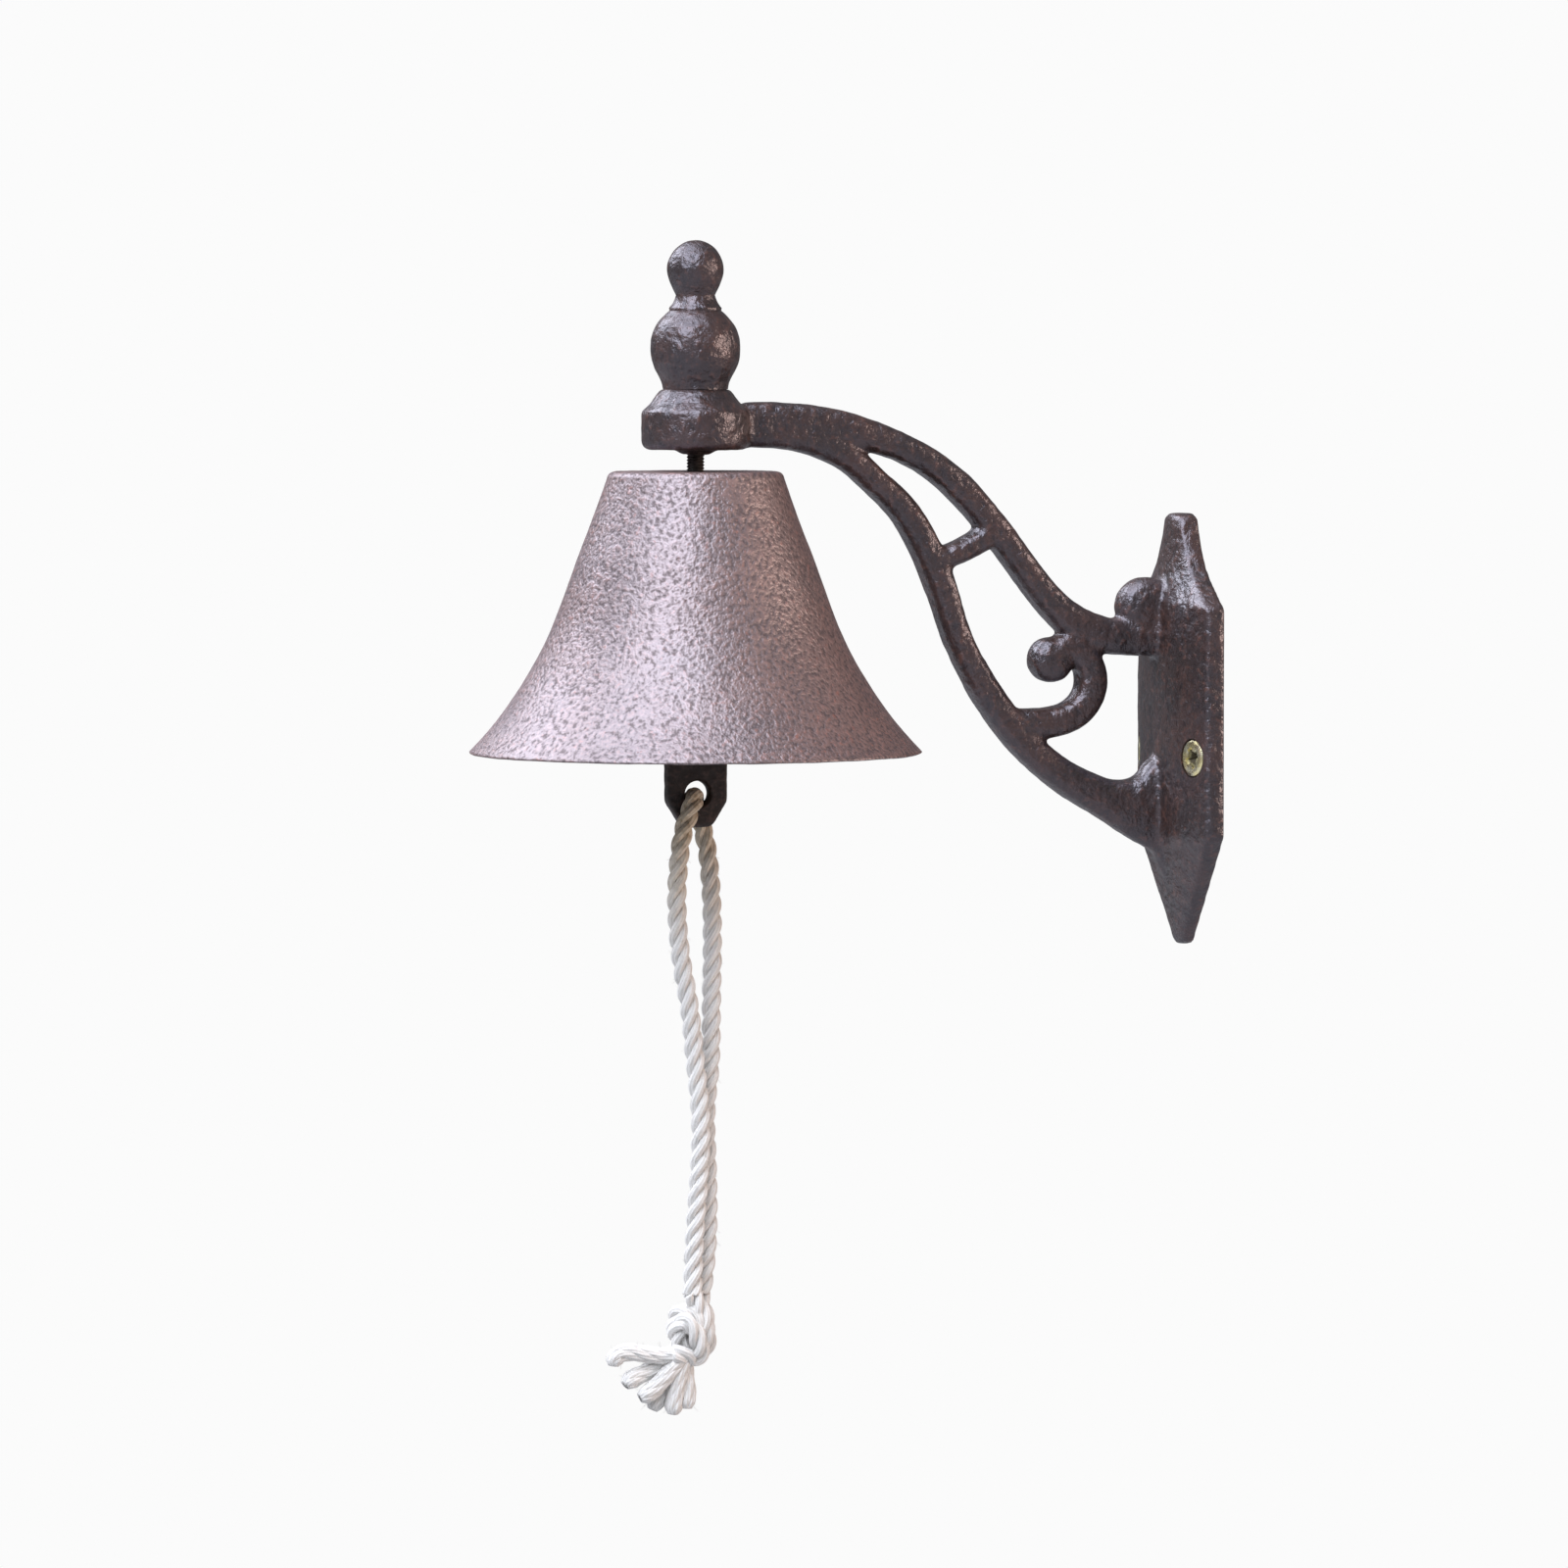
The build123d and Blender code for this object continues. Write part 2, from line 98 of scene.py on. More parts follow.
def hanging_line(route):
    """Points along the smooth curve that a rope takes over its route's control points."""
    curve = bpy.data.curves.new("line", "CURVE")
    curve.dimensions = "3D"
    spline = curve.splines.new("NURBS")
    spline.points.add(len(route) - 1)
    spline.points.foreach_set("co", np.c_[route, np.ones(len(route))].ravel())
    spline.order_u = 3
    spline.use_endpoint_u = True
    curve.resolution_u = 24
    holder = bpy.data.objects.new("line", curve)
    mesh = bpy.data.meshes.new_from_object(holder)
    line = np.array([v.co for v in mesh.vertices], float)
    bpy.data.meshes.remove(mesh)
    bpy.data.objects.remove(holder)
    bpy.data.curves.remove(curve)
    return line


def spaced(line, step):
    """The line again, with points step apart or a little less."""
    along = np.concatenate([[0], np.cumsum(np.linalg.norm(np.diff(line, axis=0), axis=1))])
    at = np.linspace(0, along[-1], math.ceil(along[-1] / step) + 1)
    return np.stack([np.interp(at, along, column) for column in line.T], axis=1)


def unit(vectors):
    """Each row of vectors, one long."""
    return vectors / np.maximum(np.linalg.norm(vectors, axis=-1, keepdims=True), 1e-12)


def steady_frame(line):
    """Two directions across a line at each point that turn with it but don't twist:
    u(i) = u(i-1) less its part along t(i), made one long, and v = t x u."""
    ahead = unit(np.gradient(line, axis=0))
    side = np.empty_like(line)
    start = np.cross(ahead[0], (0.3, 1.0, 0.2))
    for i, t in enumerate(ahead):
        start = unit(start - t * (start @ t))
        side[i] = start
    return side, np.cross(ahead, side)


def skin(rings, cyclic=False, spacing=1.0):
    """A closed surface through rings of points, shape (rings, points, 3), as (points, faces, uv).
    Open ends are closed with a fan. uv is (share of the way round, ring x spacing) for each
    corner of each face."""
    n, m = rings.shape[:2]
    i, j = np.meshgrid(np.arange(n if cyclic else n - 1), np.arange(m), indexing="ij")
    corners = [(i, j), (i, j + 1), (i + 1, j + 1), (i + 1, j)]
    quads = np.stack([a % n * m + b % m for a, b in corners], axis=-1).reshape(-1, 4)
    uv = np.stack([np.stack([b / m, a * spacing], axis=-1) for a, b in corners], axis=2)
    points, faces, uv = rings.reshape(-1, 3), quads.tolist(), uv.reshape(-1, 2)
    if not cyclic:
        spot = np.arange(m)
        for end, ring in enumerate((0, n - 1)):
            centre = np.full(m, n * m + end)
            fan = np.stack([ring * m + spot, ring * m + (spot + 1) % m, centre], axis=1)
            faces += fan.tolist()
            uv = np.r_[uv, np.tile((0.0, ring * spacing), (3 * m, 1))]
        points = np.r_[points, rings[[0, -1]].mean(axis=1)]
    return points, faces, uv


def joined(parts):
    """Several (points, faces, uv) as one."""
    starts = np.cumsum([0] + [len(points) for points, _, _ in parts])
    faces = [[k + start for k in face] for start, (_, fs, _) in zip(starts, parts) for face in fs]
    return np.concatenate([p for p, _, _ in parts]), faces, np.concatenate([u for _, _, u in parts])


def new_mesh(name, part, keep_uv=False):
    """A mesh of (points, faces, uv) in millimetres, with its normals outward."""
    points, faces, uv = part
    mesh = bpy.data.meshes.new(name)
    mesh.from_pydata((points * MM).tolist(), [], faces)
    if keep_uv:
        mesh.uv_layers.new(name="lay").data.foreach_set("uv", np.ravel(uv))
    sorted_faces = bmesh.new()
    sorted_faces.from_mesh(mesh)
    bmesh.ops.recalc_face_normals(sorted_faces, faces=sorted_faces.faces)
    sorted_faces.to_mesh(mesh)
    sorted_faces.free()
    return mesh


def shown(name, mesh, material, body, replaces, slot, sharp=None):
    """Puts a finished mesh in the scene, with its edges over sharp degrees left hard, riding on
    a CAD body and standing for CAD nodes."""
    mesh.polygons.foreach_set("use_smooth", [True] * len(mesh.polygons))
    if sharp is not None:
        mesh.set_sharp_from_angle(angle=math.radians(sharp))
    mesh.materials.clear()
    mesh.materials.append(material)
    made = bpy.data.objects.new(name, mesh)
    bpy.context.scene.collection.objects.link(made)
    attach(made, body)
    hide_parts(*replaces)
    return made


def finished(name, part, *rest, **settings):
    """Shows (points, faces, uv) as it is, with its uv kept for the paint."""
    return shown(name, new_mesh(name, part, keep_uv=True), *rest, **settings)


def laid(line, radius, lay=ROPE_LAY, strands=3, sides=20, step=0.4, turn=0.0, loosen=None):
    """Strands twisted about a line. Strand k's middle is 0.54 r from the line, at the angle
    turn + 2 pi (s / lay + k / strands) at the distance s along, and its section is an ellipse
    0.5 r by 0.54 r, flatter towards the line. loosen scales the offset along the line."""
    line = spaced(line, step)
    u, v = steady_frame(line)
    s = np.arange(len(line)) * step
    loosen = np.ones(len(line)) if loosen is None else np.interp(s, *loosen)
    around = np.linspace(0, 2 * np.pi, sides, endpoint=False)
    parts = []
    for k in range(strands):
        angle = turn + 2 * np.pi * (s / lay + k / strands)
        out = np.cos(angle)[:, None] * u + np.sin(angle)[:, None] * v
        across = -np.sin(angle)[:, None] * u + np.cos(angle)[:, None] * v
        middle = line + out * (0.54 * radius * loosen)[:, None]
        rings = (
            middle[:, None]
            + 0.50 * radius * np.cos(around)[None, :, None] * out[:, None]
            + 0.545 * radius * np.sin(around)[None, :, None] * across[:, None]
        )
        parts.append(skin(rings, spacing=step))
    return joined(parts)


def kept_off_the_tongue(part):
    """The rope's points inside the hole are squeezed within its wall, and those beside the
    tongue are pushed off its faces."""
    points, faces, uv = part
    x, y, z = points.T
    y = y + REACH
    away = np.hypot(y, z - ROPE_HOLE_Z)
    room = ROPE_HOLE_RADIUS - 0.1
    at_tongue = z > TONGUE_BOTTOM_Z
    # inside the tongue's thickness: towards the hole's middle
    inside = at_tongue & (np.abs(x) < SQUEEZED_HALF_LENGTH)
    scale = np.where(inside & (away > room), room / np.maximum(away, 1e-9), 1.0)
    y, z = y * scale, ROPE_HOLE_Z + (z - ROPE_HOLE_Z) * scale
    # near a face: out along x, more the further it is past the hole's edge
    face = TONGUE_HALF_THICKNESS + 0.08
    past = np.clip((away - room) / 0.5, 0, 1)
    edge = SQUEEZED_HALF_LENGTH + (face - SQUEEZED_HALF_LENGTH) * past
    beside = at_tongue & ~inside & (away > room) & (np.abs(x) < edge)
    x = np.where(beside, np.sign(x) * edge, x)
    return np.stack([x, y - REACH, z], axis=1), faces, uv


def fuzz(line, radius, count, seed, length=1.6):
    """Short loose fibres standing off a rope's surface, as thin three-sided curved tubes."""
    rng = np.random.default_rng(seed)
    line = spaced(line, 0.4)
    u, v = steady_frame(line)
    ahead = np.cross(u, v)
    parts = []
    for _ in range(count):
        i = rng.integers(2, len(line) - 2)
        angle, lean = rng.uniform(0, 2 * np.pi), rng.uniform(-1.2, 1.2)
        out = np.cos(angle) * u[i] + np.sin(angle) * v[i]
        across = -np.sin(angle) * u[i] + np.cos(angle) * v[i]
        reach = length * rng.uniform(0.3, 1.0)
        t = np.linspace(0, 1, 5)[:, None]
        curl = rng.uniform(-0.8, 0.8)
        hair = line[i] + out * (0.8 * radius + 0.45 * reach * t) + reach * t * (
            lean * ahead[i] + 0.5 * across + curl * t * across
        )
        a, b = steady_frame(hair)
        rings = np.stack([hair + 0.03 * (math.cos(q) * a + math.sin(q) * b) for q in (0, 2.1, 4.2)], 1)
        parts.append(skin(rings))
    return joined(parts)


class Value:
    """A socket in a material's node tree. Arithmetic on it adds Math nodes."""

    def __init__(self, paint, socket):
        self.paint, self.socket = paint, socket

    def math(self, operation, *values):
        return self.paint.node("Math", list(values), operation=operation)

    def __add__(self, other):
        return self.math("ADD", self, other)

    def __sub__(self, other):
        return self.math("SUBTRACT", self, other)

    def __rsub__(self, other):
        return self.math("SUBTRACT", other, self)

    def __mul__(self, other):
        return self.math("MULTIPLY", self, other)

    __radd__, __rmul__ = __add__, __mul__


class Paint:
    """A new material and its node tree."""

    def __init__(self, name, **constants):
        self.material = bpy.data.materials.new(name)
        self.material.use_nodes = True
        self.tree = self.material.node_tree
        self.shader = self.tree.nodes["Principled BSDF"]
        for key, value in constants.items():
            self.shader.inputs[key.replace("_", " ")].default_value = value
        self.place = self.node("TexCoord", output="Object")

    def node(self, kind, inputs=(), output=0, **settings):
        """Adds any node: inputs is a list in order, or a dict by name or number."""
        added = self.tree.nodes.new("ShaderNode" + kind)
        for key, value in settings.items():
            setattr(added, key, value)
        for key, value in inputs.items() if isinstance(inputs, dict) else enumerate(inputs):
            if isinstance(value, Value):
                self.tree.links.new(value.socket, added.inputs[key])
            else:
                added.inputs[key].default_value = value
        return Value(self, added.outputs[output])

    def noise(self, size, detail=2.0, roughness=0.5):
        """Noise from 0 to 1 with lumps about size millimetres across."""
        inputs = {"Vector": self.place, "Scale": 1 / (size * MM), "Detail": detail, "Roughness": roughness}
        return self.node("TexNoise", inputs)

    def step(self, value, low, high):
        """0 below low and 1 above high, smooth between."""
        inputs = {"Value": value, "From Min": low, "From Max": high}
        return self.node("MapRange", inputs, interpolation_type="SMOOTHSTEP")

    def mix(self, share, first, second):
        """Colours mixed by share."""
        a, b = (c if isinstance(c, Value) else (*c, 1.0) for c in (first, second))
        return self.node("Mix", {0: share, 6: a, 7: b}, output=2, data_type="RGBA")

    def axis(self, name):
        """One coordinate in millimetres."""
        return self.node("SeparateXYZ", [self.place], output=name) * (1 / MM)

    def finish(self, colour=None, roughness=None, height=None, depth=0.1, metallic=None):
        """Feeds the shader. height is a bump of depth millimetres."""
        for key, value in (("Base Color", colour), ("Roughness", roughness), ("Metallic", metallic)):
            if value is not None:
                self.tree.links.new(value.socket, self.shader.inputs[key])
        if height is not None:
            bump = self.node("Bump", {"Height": height, "Distance": depth * MM, "Strength": 1.0})
            self.tree.links.new(bump.socket, self.shader.inputs["Normal"])
        return self.material


def cotton_paint():
    """Soft undyed cotton: fine fibres along each strand, tan dirt near the iron, painted shade in the
    grooves.
    """
    paint = Paint("cotton", Roughness=0.9, Specular_IOR_Level=0.15, Sheen_Weight=0.25, Sheen_Roughness=0.5)
    uv = paint.node("UVMap", output="UV", uv_map="lay")
    round_, along = (paint.node("SeparateXYZ", [uv], output=a) for a in ("X", "Y"))
    yarn = paint.node("Math", [round_ * 50.3 + along * 3.4], operation="SINE")
    fibres = paint.noise(0.35, detail=3)
    height = yarn * 0.35 + fibres
    dirt = paint.step(paint.axis("Z") + paint.noise(5) * 16 - 8, -46, -8)
    darkening = paint.step(paint.noise(1.4, detail=3), 0.42, 0.7)
    clean = paint.mix(paint.noise(6), (0.79, 0.78, 0.76), (0.88, 0.875, 0.86))
    stained = paint.mix(darkening, (0.60, 0.51, 0.38), (0.38, 0.29, 0.18))
    colour = paint.mix(dirt, clean, stained)
    # painted shade: greyer and darker where the bump is low, in the grooves between the yarns and fibres
    colour = paint.mix(paint.step(height, 0.55, 0.0) * 0.35, colour, (0.45, 0.41, 0.36))
    return paint.finish(colour, height=height, depth=0.16)


cotton = cotton_paint()
LEGS = [  # name, route, turn of the strands at the hole, seed of the loose fibres
    ("rope_near_leg_strands", NEAR_LEG, 0.4, 1),
    ("rope_far_leg_strands", FAR_LEG, 1.3, 2),
]
for name, route, turn, seed in LEGS:
    line = hanging_line(at_bell(route))
    strands = kept_off_the_tongue(laid(line, ROPE_RADIUS, turn=turn))
    part = joined([strands, fuzz(line[20:], ROPE_RADIUS, 160, seed)])
    node = name.removesuffix("_strands")
    leg = finished(name, part, cotton, "rope", [node], "cotton_rope")
    if route is NEAR_LEG:
        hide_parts("rope_bight")


# ---- knot: both cords tied together in one overhand knot, pulled tight, so that the cords ----
# flatten against each other and the knot leans a little away from the wall.
KNOT_MIDDLE = np.array((0.0, -REACH - 1.0, -126.0))
CORD_IN_KNOT = 2.1  # the cord's radius where the knot squeezes it
CORD_SPREAD = 1.6  # each cord's distance from the pair's middle
# The pair's middle, as (x, y, z) from the knot's middle; x is towards the near side.
KNOT_ROUTE = [
    (0.0, 0.9, 8.3), (0.3, 1.7, 5.4), (0.7, 3.1, 2.0), (0.0, 3.2, -1.6), (-1.8, 1.4, -3.0),
    (-1.4, -2.0, -2.8), (-0.4, -3.9, 0.0), (1.6, -2.8, 3.4), (2.9, -0.4, 2.4), (2.6, 2.0, -1.6),
    (0.9, 2.6, -4.8), (-0.6, 0.6, -5.6), (0.9, -1.8, -4.6), (0.6, -4.4, -5.4),
]  # fmt: skip


def knot_cords():
    """The two cords side by side along the knot's route, lying flat about its core: the offset
    is along t x (p - core), where the core is the knot's upright axis."""
    route = np.array(KNOT_ROUTE)
    line = spaced(hanging_line(route), 0.4)
    ahead = unit(np.gradient(line, axis=0))
    radial = line * (1, 1, 0.25)
    across = unit(np.cross(ahead, radial))
    across[0] = unit(at_bell(NEAR_LEG)[-1] - at_bell(FAR_LEG)[-1])
    for i in range(1, len(across)):  # no sudden turns where the line passes near the core
        across[i] = unit(0.92 * across[i - 1] + 0.08 * across[i] * np.sign(across[i] @ across[i - 1] + 1e-9))
    along = np.arange(len(line)) * 0.4
    spread = CORD_SPREAD + 0.8 * np.exp(-along / 2.5)  # the legs come in side by side
    return [line + across * side * spread[:, None] + KNOT_MIDDLE for side in (1, -1)]


knot_lines = knot_cords()
squeeze = ([0, 5, 100], [1.12, 1.0, 1.0])
knot_parts = [
    laid(cord, CORD_IN_KNOT, turn=turn, step=0.35, loosen=squeeze)
    for cord, turn in zip(knot_lines, (0.2, 1.9))
]
finished("rope_knot_strands", joined(knot_parts), cotton, "rope", ["rope_knot"], "cotton_rope")

# ---- frayed ends: the six strands of the two cords, opened below the knot. They fan away from ----
# the wall and thin out at their tips.
END_RADIUS = 1.95
# Each strand end's route, (x, y, z) from the knot's middle.
ENDS = [
    [(0.8, -2.4, -5.4), (1.2, -6.4, -5.8), (1.0, -10.6, -5.2), (0.6, -14.8, -4.4),
     (0.3, -17.8, -5.4), (0.2, -18.0, -7.6)],
    [(-1.2, -2.4, -5.6), (-1.2, -6.4, -7.4), (-0.6, -10.4, -9.6), (0.0, -13.6, -10.4),
     (0.4, -15.4, -12.0)],
    [(1.2, -2.2, -6.0), (1.7, -5.2, -8.8), (1.4, -8.0, -12.0), (1.2, -10.4, -14.0),
     (1.3, -12.2, -14.8)],
    [(-1.2, -2.0, -6.2), (-1.4, -4.6, -9.8), (-1.3, -6.6, -13.4), (-1.0, -8.8, -17.8)],
    [(0.8, -1.8, -6.4), (1.1, -3.2, -10.2), (0.8, -4.0, -14.0), (0.2, -4.4, -18.7)],
    [(-0.6, -1.2, -6.4), (-0.6, -1.4, -9.8), (0.2, -1.0, -13.2), (0.2, -1.2, -17.6)],
]  # fmt: skip
end_parts = []
for k, route in enumerate(ENDS):
    line = hanging_line(np.array(route) + KNOT_MIDDLE)
    length = np.linalg.norm(np.diff(line, axis=0), axis=1).sum()
    spread = ([0, 0.6 * length, length - 1.6, length - 0.6, length], [0.9, 1.0, 1.1, 0.8, 0.25])
    end_parts.append(laid(line, END_RADIUS, lay=26.0, strands=6, sides=8, turn=k, loosen=spread))
    end_parts.append(fuzz(line, END_RADIUS, 40, 20 + k, length=2.2))
finished("rope_frayed_ends", joined(end_parts), cotton, "rope", ["rope_tassel"], "cotton_rope")


# ---- bracket casting: crowned wall plate, openwork arm and boss in one piece of grey iron, ----
# sand cast, with soft edges and filled corners, and painted dark rust brown.
ARM_THICKNESS = 9.0
PLATE_EDGE = [(-42.6, 2.5), (-33.0, 3.1), (-25.0, 3.6), (-17.5, 4.1), (54.1, 4.2)]  # by height
PLATE_RISE = 0.18  # how far the crown stands over the edges, for each millimetre of half width
PLATE_OUTLINE = [  # half width at each height
    (-42.6, 0.6), (-42.3, 2.6), (-41.9, 3.4), (-17.5, 24.5), (33.3, 24.5), (35.2, 21.2), (37.2, 18.4),
    (39.3, 15.0), (42.2, 11.6), (45.6, 9.0), (49.3, 7.1), (53.0, 5.6), (53.8, 4.0), (54.1, 1.6),
]  # fmt: skip
# Strands are (y, z, width) along their centre lines.
UPPER_STRAND = [
    (-104, 75.0, 8.2), (-94, 74.9, 8.2), (-84, 73.9, 7.6), (-74, 71.3, 6.9), (-62, 66.0, 6.2),
    (-54.5, 60.2, 6.6), (-44, 48.2, 6.5), (-36.8, 38.9, 6.5), (-30.2, 31.8, 7.4),
    (-24, 28.0, 8.2), (-17, 26.4, 8.0), (-5, 26.6, 9.0),
]  # fmt: skip
LOWER_STRAND = [
    (-104, 72.6, 6.8), (-94, 72.0, 6.8), (-86, 69.9, 6.8), (-79.5, 66.3, 6.2), (-74.5, 62.0, 6.0),
    (-69.1, 57.1, 6.3), (-64.3, 50.6, 6.6), (-58.5, 37.8, 6.6), (-54.5, 26.3, 6.0),
    (-49.3, 16.5, 6.6), (-41.2, 5.2, 7.0), (-33.9, -1.8, 7.0), (-25.9, -6.9, 8.0),
    (-19.6, -9.9, 9.4), (-13.4, -11.6, 14.6), (-8.8, -11.6, 22.0), (-5, -11.8, 31.0),
]  # fmt: skip
RUNG = [(-60, 44.0, 4.6), (-54.5, 45.7, 5.2), (-50.5, 47.7, 5.4), (-45, 51.4, 6.4)]
SCROLL = [
    (-42, 8.0, 5.6), (-36.5, 7.4, 6.6), (-30, 8.2, 6.8), (-25.4, 11.2, 6.8), (-23.4, 15.8, 6.8),
    (-24.3, 20.6, 6.6), (-27.6, 24.2, 6.0), (-31.6, 24.6, 4.4),
]  # fmt: skip
SCROLL_END = (-32.9, 21.5, 5.1)  # y, z and radius of the round scroll ends
VOLUTE = (-10.8, 33.2, 6.6)
BOSS = [
    (0.01, 67.6), (3.0, 67.6), (3.6, 67.9), (4.6, 68.7), (10.4, 68.7), (11.5, 69.1), (12.0, 70.2),
    (12.0, 77.2), (10.9, 78.0), (9.4, 79.6), (8.3, 81.2), (7.6, 82.0), (0.01, 82.0),
]  # fmt: skip
SCREW_X = 19.0
SCREW_Y, SCREW_TILT = -5.85, math.radians(15.6)  # the heads lie in the crowned face
COUNTERSINK = [(0.01, -9.0), (2.4, -9.0), (2.4, -2.6), (4.35, -0.5), (4.35, 4.0), (0.01, 4.0)]


def through(points, step):
    """Rows along a smooth line through points, step apart or less: a natural cubic spline over
    the chord length t, whose second derivatives m solve
    h(i-1) m(i-1) + 2 (h(i-1) + h(i)) m(i) + h(i) m(i+1) = 6 (slope(i) - slope(i-1))."""
    points = np.array(points, float)
    t = np.concatenate([[0], np.cumsum(np.linalg.norm(np.diff(points, axis=0), axis=1))])
    h = np.diff(t)
    slope = np.diff(points, axis=0) / h[:, None]
    system, right = np.eye(len(t)), np.zeros_like(points)
    for i in range(1, len(t) - 1):
        system[i, i - 1 : i + 2] = h[i - 1], 2 * (h[i - 1] + h[i]), h[i]
        right[i] = 6 * (slope[i] - slope[i - 1])
    m = np.linalg.solve(system, right)
    at = np.linspace(0, t[-1], math.ceil(t[-1] / step) + 1)
    i = np.clip(np.searchsorted(t, at, side="right") - 1, 0, len(h) - 1)
    a, b = ((t[i + 1] - at) / h[i])[:, None], ((at - t[i]) / h[i])[:, None]
    bend = ((a**3 - a) * m[i] + (b**3 - b) * m[i + 1]) * (h[i] ** 2)[:, None] / 6
    return a * points[i] + b * points[i + 1] + bend


def superellipse(sides, power):
    """(across, up) round a rounded rectangle one unit in half size: sgn(cos)|cos|^(2/p)."""
    angle = np.linspace(0, 2 * np.pi, sides, endpoint=False)
    c, s = np.cos(angle), np.sin(angle)
    return np.sign(c) * np.abs(c) ** (2 / power), np.sign(s) * np.abs(s) ** (2 / power)


def cast_strand(stations, power=3.2):
    """A flat strand of the arm, lying in the plane x = 0."""
    rows = through(stations, 0.7)
    line = np.c_[np.zeros(len(rows)), rows[:, :2]]
    ahead = unit(np.gradient(line, axis=0))
    side = np.cross(ahead, (1, 0, 0))
    across, up = superellipse(40, power)
    rings = (
        line[:, None]
        + across[None, :, None] * side[:, None] * rows[:, 2, None, None] / 2
        + up[None, :, None] * np.array((ARM_THICKNESS / 2, 0, 0))
    )
    return skin(rings)


def cast_disc(y, z, radius, half_thickness=ARM_THICKNESS / 2, power=3.0):
    """A round scroll end with bulging faces: x = h sin^(2/p), r = R cos^(2/p)."""
    tilt = np.linspace(-np.pi / 2 + 0.02, np.pi / 2 - 0.02, 40)
    x = half_thickness * np.sign(np.sin(tilt)) * np.abs(np.sin(tilt)) ** (2 / power)
    r = radius * np.cos(tilt) ** (2 / power)
    angle = np.linspace(0, 2 * np.pi, 64, endpoint=False)
    rings = np.stack(
        [
            np.broadcast_to(x[:, None], (len(x), len(angle))),
            y + r[:, None] * np.cos(angle),
            z + r[:, None] * np.sin(angle),
        ],
        axis=2,
    )
    return skin(rings)


def revolved(profile, sides, centre=(0, -REACH), cyclic=False):
    """A closed surface of revolution about an upright axis from rows of (radius, z)."""
    profile = np.array(profile, float)
    angle = np.linspace(0, 2 * np.pi, sides, endpoint=False)
    r, z = profile.T
    rings = np.stack(
        [
            centre[0] + r[:, None] * np.cos(angle),
            centre[1] + r[:, None] * np.sin(angle),
            np.broadcast_to(z[:, None], (len(z), sides)),
        ],
        axis=2,
    )
    return skin(rings, cyclic)


def screwed_in(part, side, turn=0.0):
    """A part drawn along +Z with the plate's face at z = 0, put in at a screw's place: turned
    about its own axis, then z laid along the outward normal of the crowned face."""
    points, faces, uv = part
    c, s = math.cos(turn), math.sin(turn)
    across, up = points[:, 0] * c - points[:, 1] * s, points[:, 0] * s + points[:, 1] * c
    c, s = math.cos(SCREW_TILT), side * math.sin(SCREW_TILT)
    place = [side * SCREW_X + across * c + points[:, 2] * s, SCREW_Y + across * s - points[:, 2] * c, up]
    return np.stack(place, axis=1), faces, uv


def crowned_plate():
    """The wall plate: at each height a ring, straight at the back and an arc in front,
    y = -(edge + rise w (1 - (x / w)^2)) for half width w, with its front corner taken off."""
    outline = np.array(PLATE_OUTLINE)
    heights = np.unique(np.r_[np.arange(-42.6, 54.1, 0.8), outline[:, 0]])
    half = np.interp(heights, *outline.T)
    edges = np.interp(heights, *np.array(PLATE_EDGE).T)
    t = np.linspace(-1, 1, 60)
    rings = []
    for z, w, edge in zip(heights, half, edges):
        x = t * w
        front = edge + PLATE_RISE * w * (1 - t**2)
        front -= 0.3 * np.clip(1 - (w - np.abs(x)) / 0.5, 0, 1) ** 2
        near = np.stack([x, -front, np.full_like(x, z)], axis=1)
        back = np.stack([x[::-1], np.zeros_like(x), np.full_like(x, z)], axis=1)
        rings.append(np.r_[near, back])
    return skin(np.array(rings))


def applied(mesh, kind, **settings):
    """The mesh after one modifier."""
    holder = bpy.data.objects.new("blank", mesh)
    bpy.context.scene.collection.objects.link(holder)
    modifier = holder.modifiers.new("one", kind)
    for key, value in settings.items():
        setattr(modifier, key, value)
    graph = bpy.context.evaluated_depsgraph_get()
    graph.update()
    result = bpy.data.meshes.new_from_object(holder.evaluated_get(graph))
    bpy.data.objects.remove(holder)
    return result


def cut(mesh, part):
    """The mesh with a part taken out of it."""
    cutter = bpy.data.objects.new("cutter", new_mesh("cutter", part))
    bpy.context.scene.collection.objects.link(cutter)
    result = applied(mesh, "BOOLEAN", operation="DIFFERENCE", object=cutter, solver="EXACT")
    bpy.data.objects.remove(cutter)
    return result


def points_of(mesh):
    """A mesh's points in millimetres."""
    flat = np.empty(len(mesh.vertices) * 3, np.float32)
    mesh.vertices.foreach_get("co", flat)
    return flat.reshape(-1, 3).astype(float) / MM


def normals_of(mesh):
    """A mesh's point normals."""
    flat = np.empty(len(mesh.vertices) * 3, np.float32)
    mesh.vertex_normals.foreach_get("vector", flat)
    return flat.reshape(-1, 3).astype(float)


def relaxed(mesh, rounds):
    """Smooths a mesh: in each round a point goes halfway to the mean of its neighbours."""
    points = points_of(mesh)
    edges = np.empty(len(mesh.edges) * 2, np.int32)
    mesh.edges.foreach_get("vertices", edges)
    a, b = edges.reshape(-1, 2).T
    ends, others = np.r_[a, b], np.r_[b, a]
    count = np.bincount(ends, minlength=len(points))
    for _ in range(rounds):
        total = np.stack([np.bincount(ends, points[others, k], len(points)) for k in range(3)], 1)
        points += 0.5 * (total / count[:, None] - points)
    mesh.vertices.foreach_set("co", (points * MM).ravel())
    mesh.update()
    return mesh


